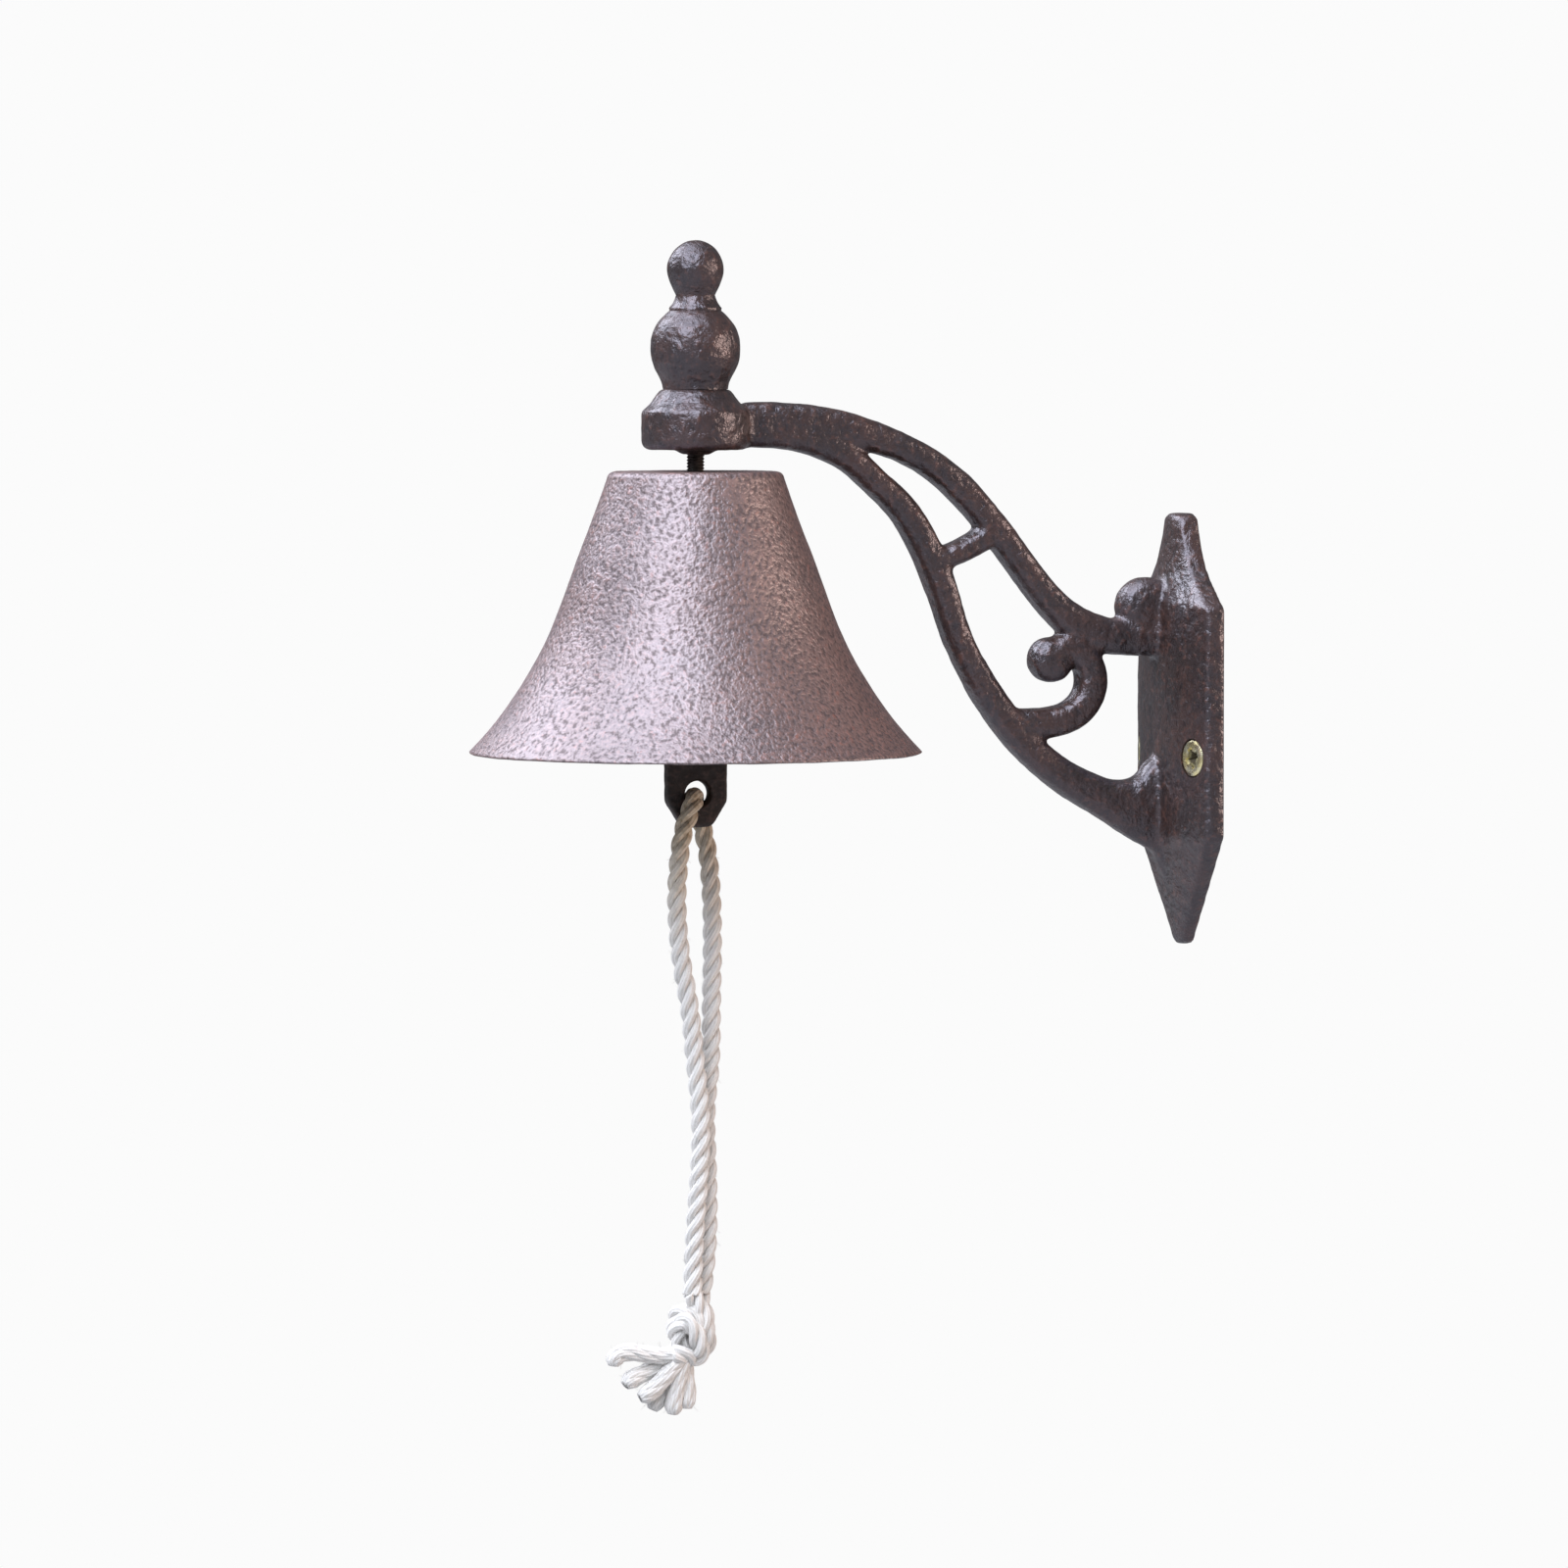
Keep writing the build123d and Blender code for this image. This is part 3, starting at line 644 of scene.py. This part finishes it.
def lumps(points, size, seed):
    """Smooth random heights from -1 to 1 with lumps about size across: the sum over a cell's
    8 corners of r(corner) times the product of s or 1 - s, where s = 3 f^2 - 2 f^3."""
    table = np.random.default_rng(seed).uniform(-1, 1, (61, 61, 61))
    at = points / size + 30.5
    cell = np.floor(at).astype(int)
    part = at - cell
    part = part * part * (3 - 2 * part)
    total = np.zeros(len(points))
    for corner in itertools.product((0, 1), repeat=3):
        weight = np.where(np.array(corner) == 1, part, 1 - part).prod(axis=1)
        i, j, k = ((cell + corner) % 61).T
        total += weight * table[i, j, k]
    return total


def sand_cast(mesh, layers, seed, share=None):
    """Roughens a mesh along its normals with (size, height) layers of lumps, by the share that
    share gives each point."""
    points, normals = points_of(mesh), normals_of(mesh)
    height = sum(h * lumps(points, size, seed + n) for n, (size, h) in enumerate(layers))
    if share is not None:
        height = height * share(points)
    mesh.vertices.foreach_set("co", ((points + normals * height[:, None]) * MM).ravel())
    mesh.update()
    return mesh


def iron_paint():
    """Dark rust-brown antique paint over rough iron, with a pearly grey sheen and painted shade in the
    hollows.
    """
    sheen = (0.88, 0.86, 1.0, 1)
    paint = Paint("painted_casting", IOR=1.75, Specular_IOR_Level=0.6, Specular_Tint=sheen)
    broad, grain = paint.noise(9, detail=3), paint.noise(1.5, detail=2.5, roughness=0.55)
    colour = paint.mix(paint.step(broad, 0.35, 0.65), (0.024, 0.0155, 0.0135), (0.044, 0.023, 0.018))
    colour = paint.mix(paint.step(grain, 0.54, 0.72) * 0.7, colour, (0.10, 0.046, 0.033))
    # painted shade: near black where the grain is low, in its hollows
    colour = paint.mix(paint.step(grain, 0.45, 0.32) * 0.7, colour, (0.010, 0.007, 0.007))
    roughness = 0.24 + paint.noise(2.5) * 0.24
    height = grain + paint.noise(0.6, detail=1) * 0.15 + paint.noise(3.2, detail=1) * 1.2
    return paint.finish(colour, roughness, height, depth=0.42)


def off_the_wall(points):
    """1 on the bracket, falling to 0 at its flat back."""
    return np.clip(-points[:, 1] / 0.8, 0, 1)


painted_casting = iron_paint()
blank = new_mesh(
    "bracket",
    joined(
        [cast_strand(s) for s in (UPPER_STRAND, LOWER_STRAND, RUNG, SCROLL)]
        + [cast_disc(*SCROLL_END), cast_disc(*VOLUTE), revolved(BOSS, 120), crowned_plate()]
    ),
)
bracket = relaxed(applied(blank, "REMESH", mode="VOXEL", voxel_size=0.55 * MM), 5)
sand_cast(bracket, [(6.0, 0.10), (2.0, 0.06), (1.3, 0.05)], 5, off_the_wall)
for side in (-1, 1):
    bracket = cut(bracket, screwed_in(revolved(COUNTERSINK, 64, (0, 0)), side))
shown("bracket_skin", bracket, painted_casting, "bracket", ["bracket_casting"], "painted_casting", sharp=42)

# ---- finial: a cast knob with a ball on a waist over an urn, painted like the bracket. It is ----
# screwed down on the hanger bolt and stands on the boss.
FINIAL_TOP = [
    (0.05, 114.8), (1.6, 114.6), (3.2, 113.9), (4.9, 112.3), (6.3, 108.4), (5.2, 104.6), (4.3, 102.7)
]  # fmt: skip
FINIAL_COLLAR = [(4.3, 102.7), (4.8, 101.3), (5.8, 99.9)]
FINIAL_URN = [(5.7, 99.3), (8.6, 96.2), (9.9, 91.4), (9.0, 86.6), (7.4, 83.2), (7.2, 82.0)]
profile = np.concatenate(
    [through(FINIAL_TOP, 0.4), through(FINIAL_COLLAR, 0.4)[1:], through(FINIAL_URN, 0.4), [(0.05, 82.0)]]
)
knob = sand_cast(new_mesh("finial", revolved(profile, 160)), [(3.0, 0.06), (1.4, 0.05)], 9)
shown("finial_knob", knob, painted_casting, "bracket", ["finial"], "painted_casting", sharp=50)

# ---- bell: thin grey iron, sand cast with a pebbled skin, painted thin rust brown so that the ----
# high grain shows redder. It hangs on the nut and turns freely.
BELL_TOP, CROWN_Z, BOLT_HOLE = 63.9, 59.9, 2.4
BELL_OUTSIDE = [
    (19.6, 62.4), (22.2, 55.0), (27.3, 41.4), (32.1, 28.6), (38.8, 16.2), (45.2, 7.4), (50.0, 2.1)
]  # fmt: skip
BELL_INSIDE = [
    (47.6, 1.6), (42.8, 5.8), (36.2, 14.6), (29.3, 27.4), (24.5, 40.2), (19.6, 53.4), (18.0, 57.6),
    (16.0, 59.9),
]  # fmt: skip


def bell_paint():
    """Thin rust-brown paint with a pearly grey sheen on the grains and dull hollows darkened with painted
    shade.
    """
    sheen = (0.96, 0.91, 1.0, 1)
    paint = Paint("bell_casting", IOR=2.0, Specular_IOR_Level=0.95, Specular_Tint=sheen)
    grain = paint.noise(1.05, detail=1.5, roughness=0.5)
    fine = paint.noise(0.45, detail=2)
    broad = paint.noise(16, detail=3)
    colour = paint.mix(paint.step(broad, 0.35, 0.65), (0.088, 0.047, 0.038), (0.120, 0.062, 0.048))
    colour = paint.mix(paint.step(grain, 0.52, 0.70) * 0.7, colour, (0.20, 0.10, 0.08))
    rust = paint.step(paint.noise(1.5, detail=2), 0.63, 0.72)
    colour = paint.mix(rust * 0.6, colour, (0.24, 0.07, 0.035))
    # painted shade in the grain's hollows: a darker colour, and some metal of that dark colour to dim the
    # sheen there
    painted_hollow_shade = paint.step(grain + fine * 0.35, 0.71, 0.47)
    colour = paint.mix(painted_hollow_shade * 0.7, colour, (0.035, 0.021, 0.019))
    roughness = 0.36 + fine * 0.2 + painted_hollow_shade * 0.15
    return paint.finish(colour, roughness, grain + fine * 0.25, depth=0.30, metallic=painted_hollow_shade * 0.45)


def arc_rows(middle, radius, start, end, count):
    """Rows of (r, z) on an arc, angles in degrees."""
    a = np.radians(np.linspace(start, end, count))
    return np.stack([middle[0] + radius * np.cos(a), middle[1] + radius * np.sin(a)], axis=1)


profile = np.concatenate(
    [
        np.linspace((BOLT_HOLE, CROWN_Z), (BOLT_HOLE, BELL_TOP), 5),
        np.linspace((BOLT_HOLE, BELL_TOP), (17.9, BELL_TOP), 20)[1:],
        arc_rows((17.9, 62.2), 1.7, 84, 14, 6),
        through(BELL_OUTSIDE, 0.62),
        [(50.0, 1.9), (49.5, 1.65), (48.6, 1.6)],
        through(BELL_INSIDE, 1.3),
        np.linspace((16.0, CROWN_Z), (BOLT_HOLE, CROWN_Z), 12)[1:-1],
    ]
)


def off_the_hole(points):
    """1 on the bell, falling to 0 at the bolt's hole."""
    return np.clip((np.hypot(points[:, 0], points[:, 1] + REACH) - 3.0) / 2.0, 0, 1)


shell = new_mesh("bell", revolved(profile, 440, cyclic=True))
sand_cast(shell, [(7.0, 0.09), (1.6, 0.035)], 15, off_the_hole)
bell_casting = bell_paint()
shown("bell_shell", shell, bell_casting, "bell", ["bell"], "bell_casting", sharp=60)

# ---- hanger bolt: threaded steel rod with a forged eye, dark from oil. It hangs from the finial ----
# through the boss and the bell's crown.
BOLT_RADIUS, BOLT_TOP, BOLT_EYE_Z = 2.0, 96.5, 48.5
EYE_RADIUS, EYE_WIRE = 4.0, 1.5
THREAD_PITCH, THREAD_DEPTH = 0.7, 0.32


def steel_paint():
    """Oiled dark steel."""
    paint = Paint("dark_steel", Metallic=0.85, Specular_IOR_Level=0.5)
    patch = paint.noise(2.0, detail=3)
    colour = paint.mix(paint.step(patch, 0.4, 0.65), (0.085, 0.078, 0.072), (0.17, 0.15, 0.14))
    return paint.finish(colour, 0.36 + patch * 0.2, paint.noise(0.3), depth=0.03)


def threaded_rod(top, bottom, radius):
    """A rod with a screw thread: r = R - depth |2 frac(z / pitch + angle / 2 pi) - 1|, easing to
    a plain root at the ends."""
    z = np.arange(bottom, top + 0.06, THREAD_PITCH / 8)
    angle = np.linspace(0, 2 * np.pi, 48, endpoint=False)
    phase = (z[:, None] / THREAD_PITCH + angle[None] / (2 * np.pi)) % 1
    ease = np.clip(np.minimum(z - bottom, top - z) / 1.0, 0, 1)[:, None]
    r = radius - THREAD_DEPTH * (np.abs(2 * phase - 1) * ease + (1 - ease))
    rings = np.stack([r * np.cos(angle), r * np.sin(angle) - REACH, np.broadcast_to(z[:, None], r.shape)], 2)
    return skin(rings)


def wire_ring(line, radius, sides=28):
    """A round wire along a flat closed line."""
    line = np.array(line, float)
    ahead = unit(np.roll(line, -1, 0) - np.roll(line, 1, 0))
    flat = unit(np.cross(line[len(line) // 4] - line[0], line[len(line) // 2] - line[0]))
    side = unit(np.cross(ahead, flat))
    angle = np.linspace(0, 2 * np.pi, sides, endpoint=False)
    rings = line[:, None] + radius * (
        np.cos(angle)[None, :, None] * side[:, None] + np.sin(angle)[None, :, None] * flat
    )
    return skin(rings, cyclic=True)


def eye(z):
    """A round eye in the plane x = 0."""
    angle = np.linspace(0, 2 * np.pi, 72, endpoint=False)
    line = np.stack([0 * angle, -REACH + EYE_RADIUS * np.cos(angle), z + EYE_RADIUS * np.sin(angle)], 1)
    return wire_ring(line, EYE_WIRE)


dark_steel = steel_paint()
neck = [(0.05, 52.0), (1.6, 52.0), (1.68, 53.2), (1.68, 54.6), (0.05, 54.6)]
bolt = joined([threaded_rod(BOLT_TOP, 54.2, BOLT_RADIUS), revolved(neck, 48), eye(BOLT_EYE_Z)])
finished("hanger_bolt_rod", bolt, dark_steel, "bracket", ["hanger_bolt"], "dark_steel", sharp=45)

# ---- washer and nut that carry the bell from below its crown: a pressed steel ring with eased ----
# edges, and a cold formed hexagon nut with its corners turned off at both ends.
WASHER_PROFILE = [
    (2.15, 59.7), (2.15, 58.9), (2.25, 58.8), (5.3, 58.8), (5.5, 58.95), (5.5, 59.65), (5.35, 59.8),
    (2.25, 59.8),
]  # fmt: skip
NUT_BOTTOM, NUT_TOP, NUT_FLAT, NUT_BORE = 55.6, 58.8, 3.5, 2.02
NUT_CHAMFER = [(0.0, 0.62), (0.18, 0.32), (0.37, 0.0)]  # height from an end, cut off the corner
ring = revolved(WASHER_PROFILE, 72, cyclic=True)
finished("washer_ring", ring, dark_steel, "bracket", ["bell_washer"], "dark_steel", sharp=35)


def hex_nut():
    """The nut, with its corners turned off: r = min(flat / cos(angle from the flat's middle),
    corner - the chamfer's cut), then down its bore."""
    sides = 120
    angle = np.linspace(0, 2 * np.pi, sides, endpoint=False)
    across = NUT_FLAT / np.cos((angle + np.pi / 6) % (np.pi / 3) - np.pi / 6)
    corner = NUT_FLAT / math.cos(math.pi / 6)
    rows = [(np.minimum(across, corner - off), NUT_BOTTOM + rise) for rise, off in NUT_CHAMFER]
    rows += [(np.minimum(across, corner - off), NUT_TOP - rise) for rise, off in reversed(NUT_CHAMFER)]
    bore = [(0.25, NUT_TOP), (0.0, NUT_TOP - 0.25), (0.0, NUT_BOTTOM + 0.25), (0.25, NUT_BOTTOM)]
    rows += [(np.full(sides, NUT_BORE + wider), z) for wider, z in bore]
    rings = [
        np.stack([r * np.cos(angle), r * np.sin(angle) - REACH, np.full(sides, z)], axis=1)
        for r, z in rows
    ]
    return skin(np.array(rings), cyclic=True)


finished("nut_hex", hex_nut(), dark_steel, "bracket", ["bell_nut"], "dark_steel", sharp=25)

# ---- clapper link: an oval of steel wire, butted closed, between the bolt's eye and the ----
# clapper's eye. It lets the clapper swing both ways.
LINK_BEND, LINK_WIRE, LINK_TOP, LINK_BOTTOM = 2.8, 1.0, 44.5, 36.5


def stadium():
    """The link's centre line: two half circles joined by straights."""
    top = np.radians(np.linspace(0, 180, 25))
    bottom = top + np.pi
    x = np.r_[np.cos(top), np.cos(bottom)] * LINK_BEND
    z = np.r_[LINK_TOP + LINK_BEND * np.sin(top), LINK_BOTTOM + LINK_BEND * np.sin(bottom)]
    return np.stack([x, np.full_like(x, -REACH), z], axis=1)


oval = np.r_[stadium(), stadium()[:1]]
link_wire = wire_ring(spaced(oval, 0.25)[:-1], LINK_WIRE, 24)
finished("link_wire", link_wire, dark_steel, "link", ["clapper_link"], "dark_steel")

# ---- clapper: one dark iron casting: eye, shank, ball and the flat tongue that shows under the ----
# bell's mouth, with the rope's hole through it.
STRIKER_RADIUS, STRIKER_Z, CLAPPER_EYE_Z = 12.5, 13.0, 32.5
SHANK = [(0.05, 18.0), (3.4, 24.6), (2.6, 26.2), (2.4, 27.4), (2.4, 29.3), (0.05, 29.3)]
HALF_HOLE = [(2.85, 1.4), (2.95, 1.62), (3.3, 2.0), (3.3, 3.0), (0.01, 3.0)]  # radius, distance out
TONGUE = [(-6.9, 8.0), (-6.9, -9.0), (-3.3, -14.6), (3.3, -14.6), (6.9, -9.0), (6.9, 8.0)]


def clapper_paint():
    """Near-black brown paint, rubbed a little at the grain."""
    paint = Paint("clapper_iron", Specular_IOR_Level=0.4)
    grain = paint.noise(1.2, detail=3, roughness=0.6)
    colour = paint.mix(paint.step(grain, 0.45, 0.7), (0.020, 0.013, 0.011), (0.055, 0.033, 0.027))
    return paint.finish(colour, 0.42 + paint.noise(2.5) * 0.2, grain, depth=0.15)


def tongue():
    """The flat tongue: its outline's corners eased, pushed to its thickness."""
    outline = np.array(TONGUE)
    closed = spaced(np.r_[outline, outline[:1]], 0.5)[:-1]
    for _ in range(3):
        closed = (np.roll(closed, 1, 0) + 2 * closed + np.roll(closed, -1, 0)) / 4
    rings = []
    for x, inset in ((-2.0, 0.35), (-1.85, 0.1), (-1.6, 0.0), (1.6, 0.0), (1.85, 0.1), (2.0, 0.35)):
        centre = closed.mean(0)
        shrunk = closed - unit(closed - centre) * inset
        rings.append(np.c_[np.full(len(closed), x), shrunk[:, 0] - REACH, shrunk[:, 1]])
    return skin(np.array(rings))


def along_x(part, y, z):
    """A part revolved about the upright axis at (0, 0), laid over onto the X axis at (y, z)."""
    points, faces, uv = part
    return np.stack([points[:, 2], points[:, 0] + y, points[:, 1] + z], axis=1), faces, uv


ball = np.concatenate(
    [
        [(0.01, STRIKER_Z - STRIKER_RADIUS)],
        arc_rows((0, STRIKER_Z), STRIKER_RADIUS, -88, 88, 60),
        [(0.01, STRIKER_Z + STRIKER_RADIUS)],
    ]
)
blank = new_mesh("clapper", joined([revolved(ball, 96), revolved(SHANK, 40), tongue(), eye(CLAPPER_EYE_Z)]))
body = relaxed(applied(blank, "REMESH", mode="VOXEL", voxel_size=0.4 * MM), 4)
sand_cast(body, [(2.5, 0.07), (1.2, 0.05)], 31)
hole = [(r, -x) for r, x in reversed(HALF_HOLE)] + HALF_HOLE
body = cut(body, along_x(revolved(hole, 72, (0, 0)), -REACH, ROPE_HOLE_Z))
clapper_iron = clapper_paint()
shown("clapper_body", body, clapper_iron, "clapper", ["clapper"], "clapper_iron", sharp=50)

# ---- wall screws: flat countersunk cross-head screws, yellow zinc plated, with painted shade in ----
# the cross. They lean out square to the crowned plate.
SCREW_PROFILE = [  # radius, height over the plate's face
    (0.05, -4.95), (2.0, -4.95), (2.0, -2.8), (4.05, -0.9), (4.1, -0.75), (4.1, -0.45), (3.95, -0.15),
    (3.6, 0.08), (3.0, 0.2), (2.4, 0.15), (1.9, 0.02), (0.05, -0.1),
]  # fmt: skip
RECESS_MIDDLE = [(0.01, 1.0), (1.7, 1.0), (1.5, -0.6), (0.9, -2.6), (0.01, -2.8)]
FAR_SCREW_DEPTH = 0.35  # the far one is driven a little deeper


def zinc_paint():
    """Yellow passivated zinc: a bright straw yellow with a thin iridescent drift, and painted shade
    below the plate's face, at the height over it along the screw's tilted axis."""
    paint = Paint("yellow_zinc")
    x, out = paint.axis("X"), paint.axis("Y")
    across = x.math("ABSOLUTE", x)
    height = (across - SCREW_X) * math.sin(SCREW_TILT) - (out - SCREW_Y) * math.cos(SCREW_TILT)
    # painted shade where the screw lies below the plate's face: dark, rougher and less metallic in the cross
    # and the countersink
    darkening = paint.step(height, -0.15, -0.9)
    drift = paint.noise(2.6, detail=2)
    colour = paint.mix(paint.step(drift, 0.35, 0.65), (0.95, 0.84, 0.44), (0.93, 0.89, 0.64))
    colour = paint.mix(darkening * 0.95, colour, (0.05, 0.038, 0.022))
    roughness = 0.22 + paint.noise(1.0) * 0.12 + darkening * 0.35
    return paint.finish(colour, roughness, paint.noise(0.35), depth=0.02, metallic=1 - darkening * 0.7)


def wing(turn):
    """One bar of the driver's cross: a slot that narrows inward."""
    c, s = math.cos(turn), math.sin(turn)
    rings = []
    for z, length, width in ((1.0, 2.6, 0.85), (-0.4, 2.2, 0.68), (-2.1, 1.2, 0.45)):
        corners = [(-length, -width), (length, -width), (length, width), (-length, width)]
        rings.append([(a * c - b * s, a * s + b * c, z) for a, b in corners])
    return skin(np.array(rings, float))


yellow_zinc = zinc_paint()
for side, turn, depth, name in (
    (1, 0.42, 0.0, "near_screw"),
    (-1, 1.06, FAR_SCREW_DEPTH, "far_screw"),
):
    sunk = np.array((0, 0, -depth))
    parts = [
        revolved(SCREW_PROFILE, 96, (0, 0)),
        revolved(RECESS_MIDDLE, 32, (0, 0)),
        wing(0),
        wing(math.pi / 2),
    ]
    solid, *cutters = (screwed_in((p + sunk, faces, uv), side, turn) for p, faces, uv in parts)
    screw = new_mesh("screw", solid)
    for cutter in cutters:
        screw = cut(screw, cutter)
    shown(name, screw, yellow_zinc, "bracket", ["wall_screws"], "yellow_zinc", sharp=28)

# ---- stage: a pale floor far below, a white surround and soft lights: a large cool one in ----
# front, cool ones at the left and above, and a warm one from the wall's side.
FLOOR_Z, FLOOR_HALF = -0.32, 6
STAGE_WHITE = (0.965, 0.965, 0.965, 1)


def seen_white(tree, lit, white):
    """Mixes a shader with a plain white one that only the camera sees, so that the stage shows
    white without lighting the bell from every side."""
    ray = tree.nodes.new("ShaderNodeLightPath")
    mix = tree.nodes.new("ShaderNodeMixShader")
    tree.links.new(ray.outputs["Is Camera Ray"], mix.inputs[0])
    tree.links.new(lit.outputs[0], mix.inputs[1])
    tree.links.new(white.outputs[0], mix.inputs[2])
    return mix


floor_mesh = bpy.data.meshes.new("floor")
corners = [(-1, -1), (1, -1), (1, 1), (-1, 1)]
floor_mesh.from_pydata([(x * FLOOR_HALF, y * FLOOR_HALF, FLOOR_Z) for x, y in corners], [], [(0, 1, 2, 3)])
floor = bpy.data.objects.new("floor", floor_mesh)
matte = Paint("floor", Base_Color=(0.35, 0.35, 0.35, 1), Roughness=0.9, Specular_IOR_Level=0.2)
glow = matte.tree.nodes.new("ShaderNodeEmission")
glow.inputs["Color"].default_value = STAGE_WHITE
matte.tree.links.new(
    seen_white(matte.tree, matte.shader, glow).outputs[0],
    matte.tree.nodes["Material Output"].inputs["Surface"],
)
floor.data.materials.append(matte.material)
bpy.context.scene.collection.objects.link(floor)

world = bpy.data.worlds.new("surround")
world.use_nodes = True
dim = world.node_tree.nodes["Background"]
dim.inputs["Color"].default_value = (0.90, 0.93, 1.0, 1)
dim.inputs["Strength"].default_value = 0.2
white = world.node_tree.nodes.new("ShaderNodeBackground")
white.inputs["Color"].default_value = STAGE_WHITE
world.node_tree.links.new(
    seen_white(world.node_tree, dim, white).outputs[0],
    world.node_tree.nodes["World Output"].inputs["Surface"],
)
bpy.context.scene.world = world
bpy.context.scene.view_settings.view_transform = "Standard"


def soft_light(name, place, power, size, colour):
    """A square soft light at place, aimed at the bell."""
    light = bpy.data.objects.new(name, bpy.data.lights.new(name, "AREA"))
    light.data.energy, light.data.size, light.data.color = power, size, colour
    light.location = place
    aim = Vector(place) - Vector((0, -0.09, 0.02))
    light.rotation_euler = aim.to_track_quat("Z", "Y").to_euler()
    bpy.context.scene.collection.objects.link(light)


soft_light("key", (1.0, -1.15, 1.5), 70, 1.9, (0.89, 0.92, 1.0))
soft_light("left", (-1.1, -1.1, 1.25), 32, 1.2, (0.88, 0.91, 1.0))
soft_light("top", (-0.1, -0.3, 1.7), 10, 1.0, (0.88, 0.90, 1.0))
soft_light("fill", (0.95, 1.8, 0.35), 21, 0.8, (1.0, 0.73, 0.58))
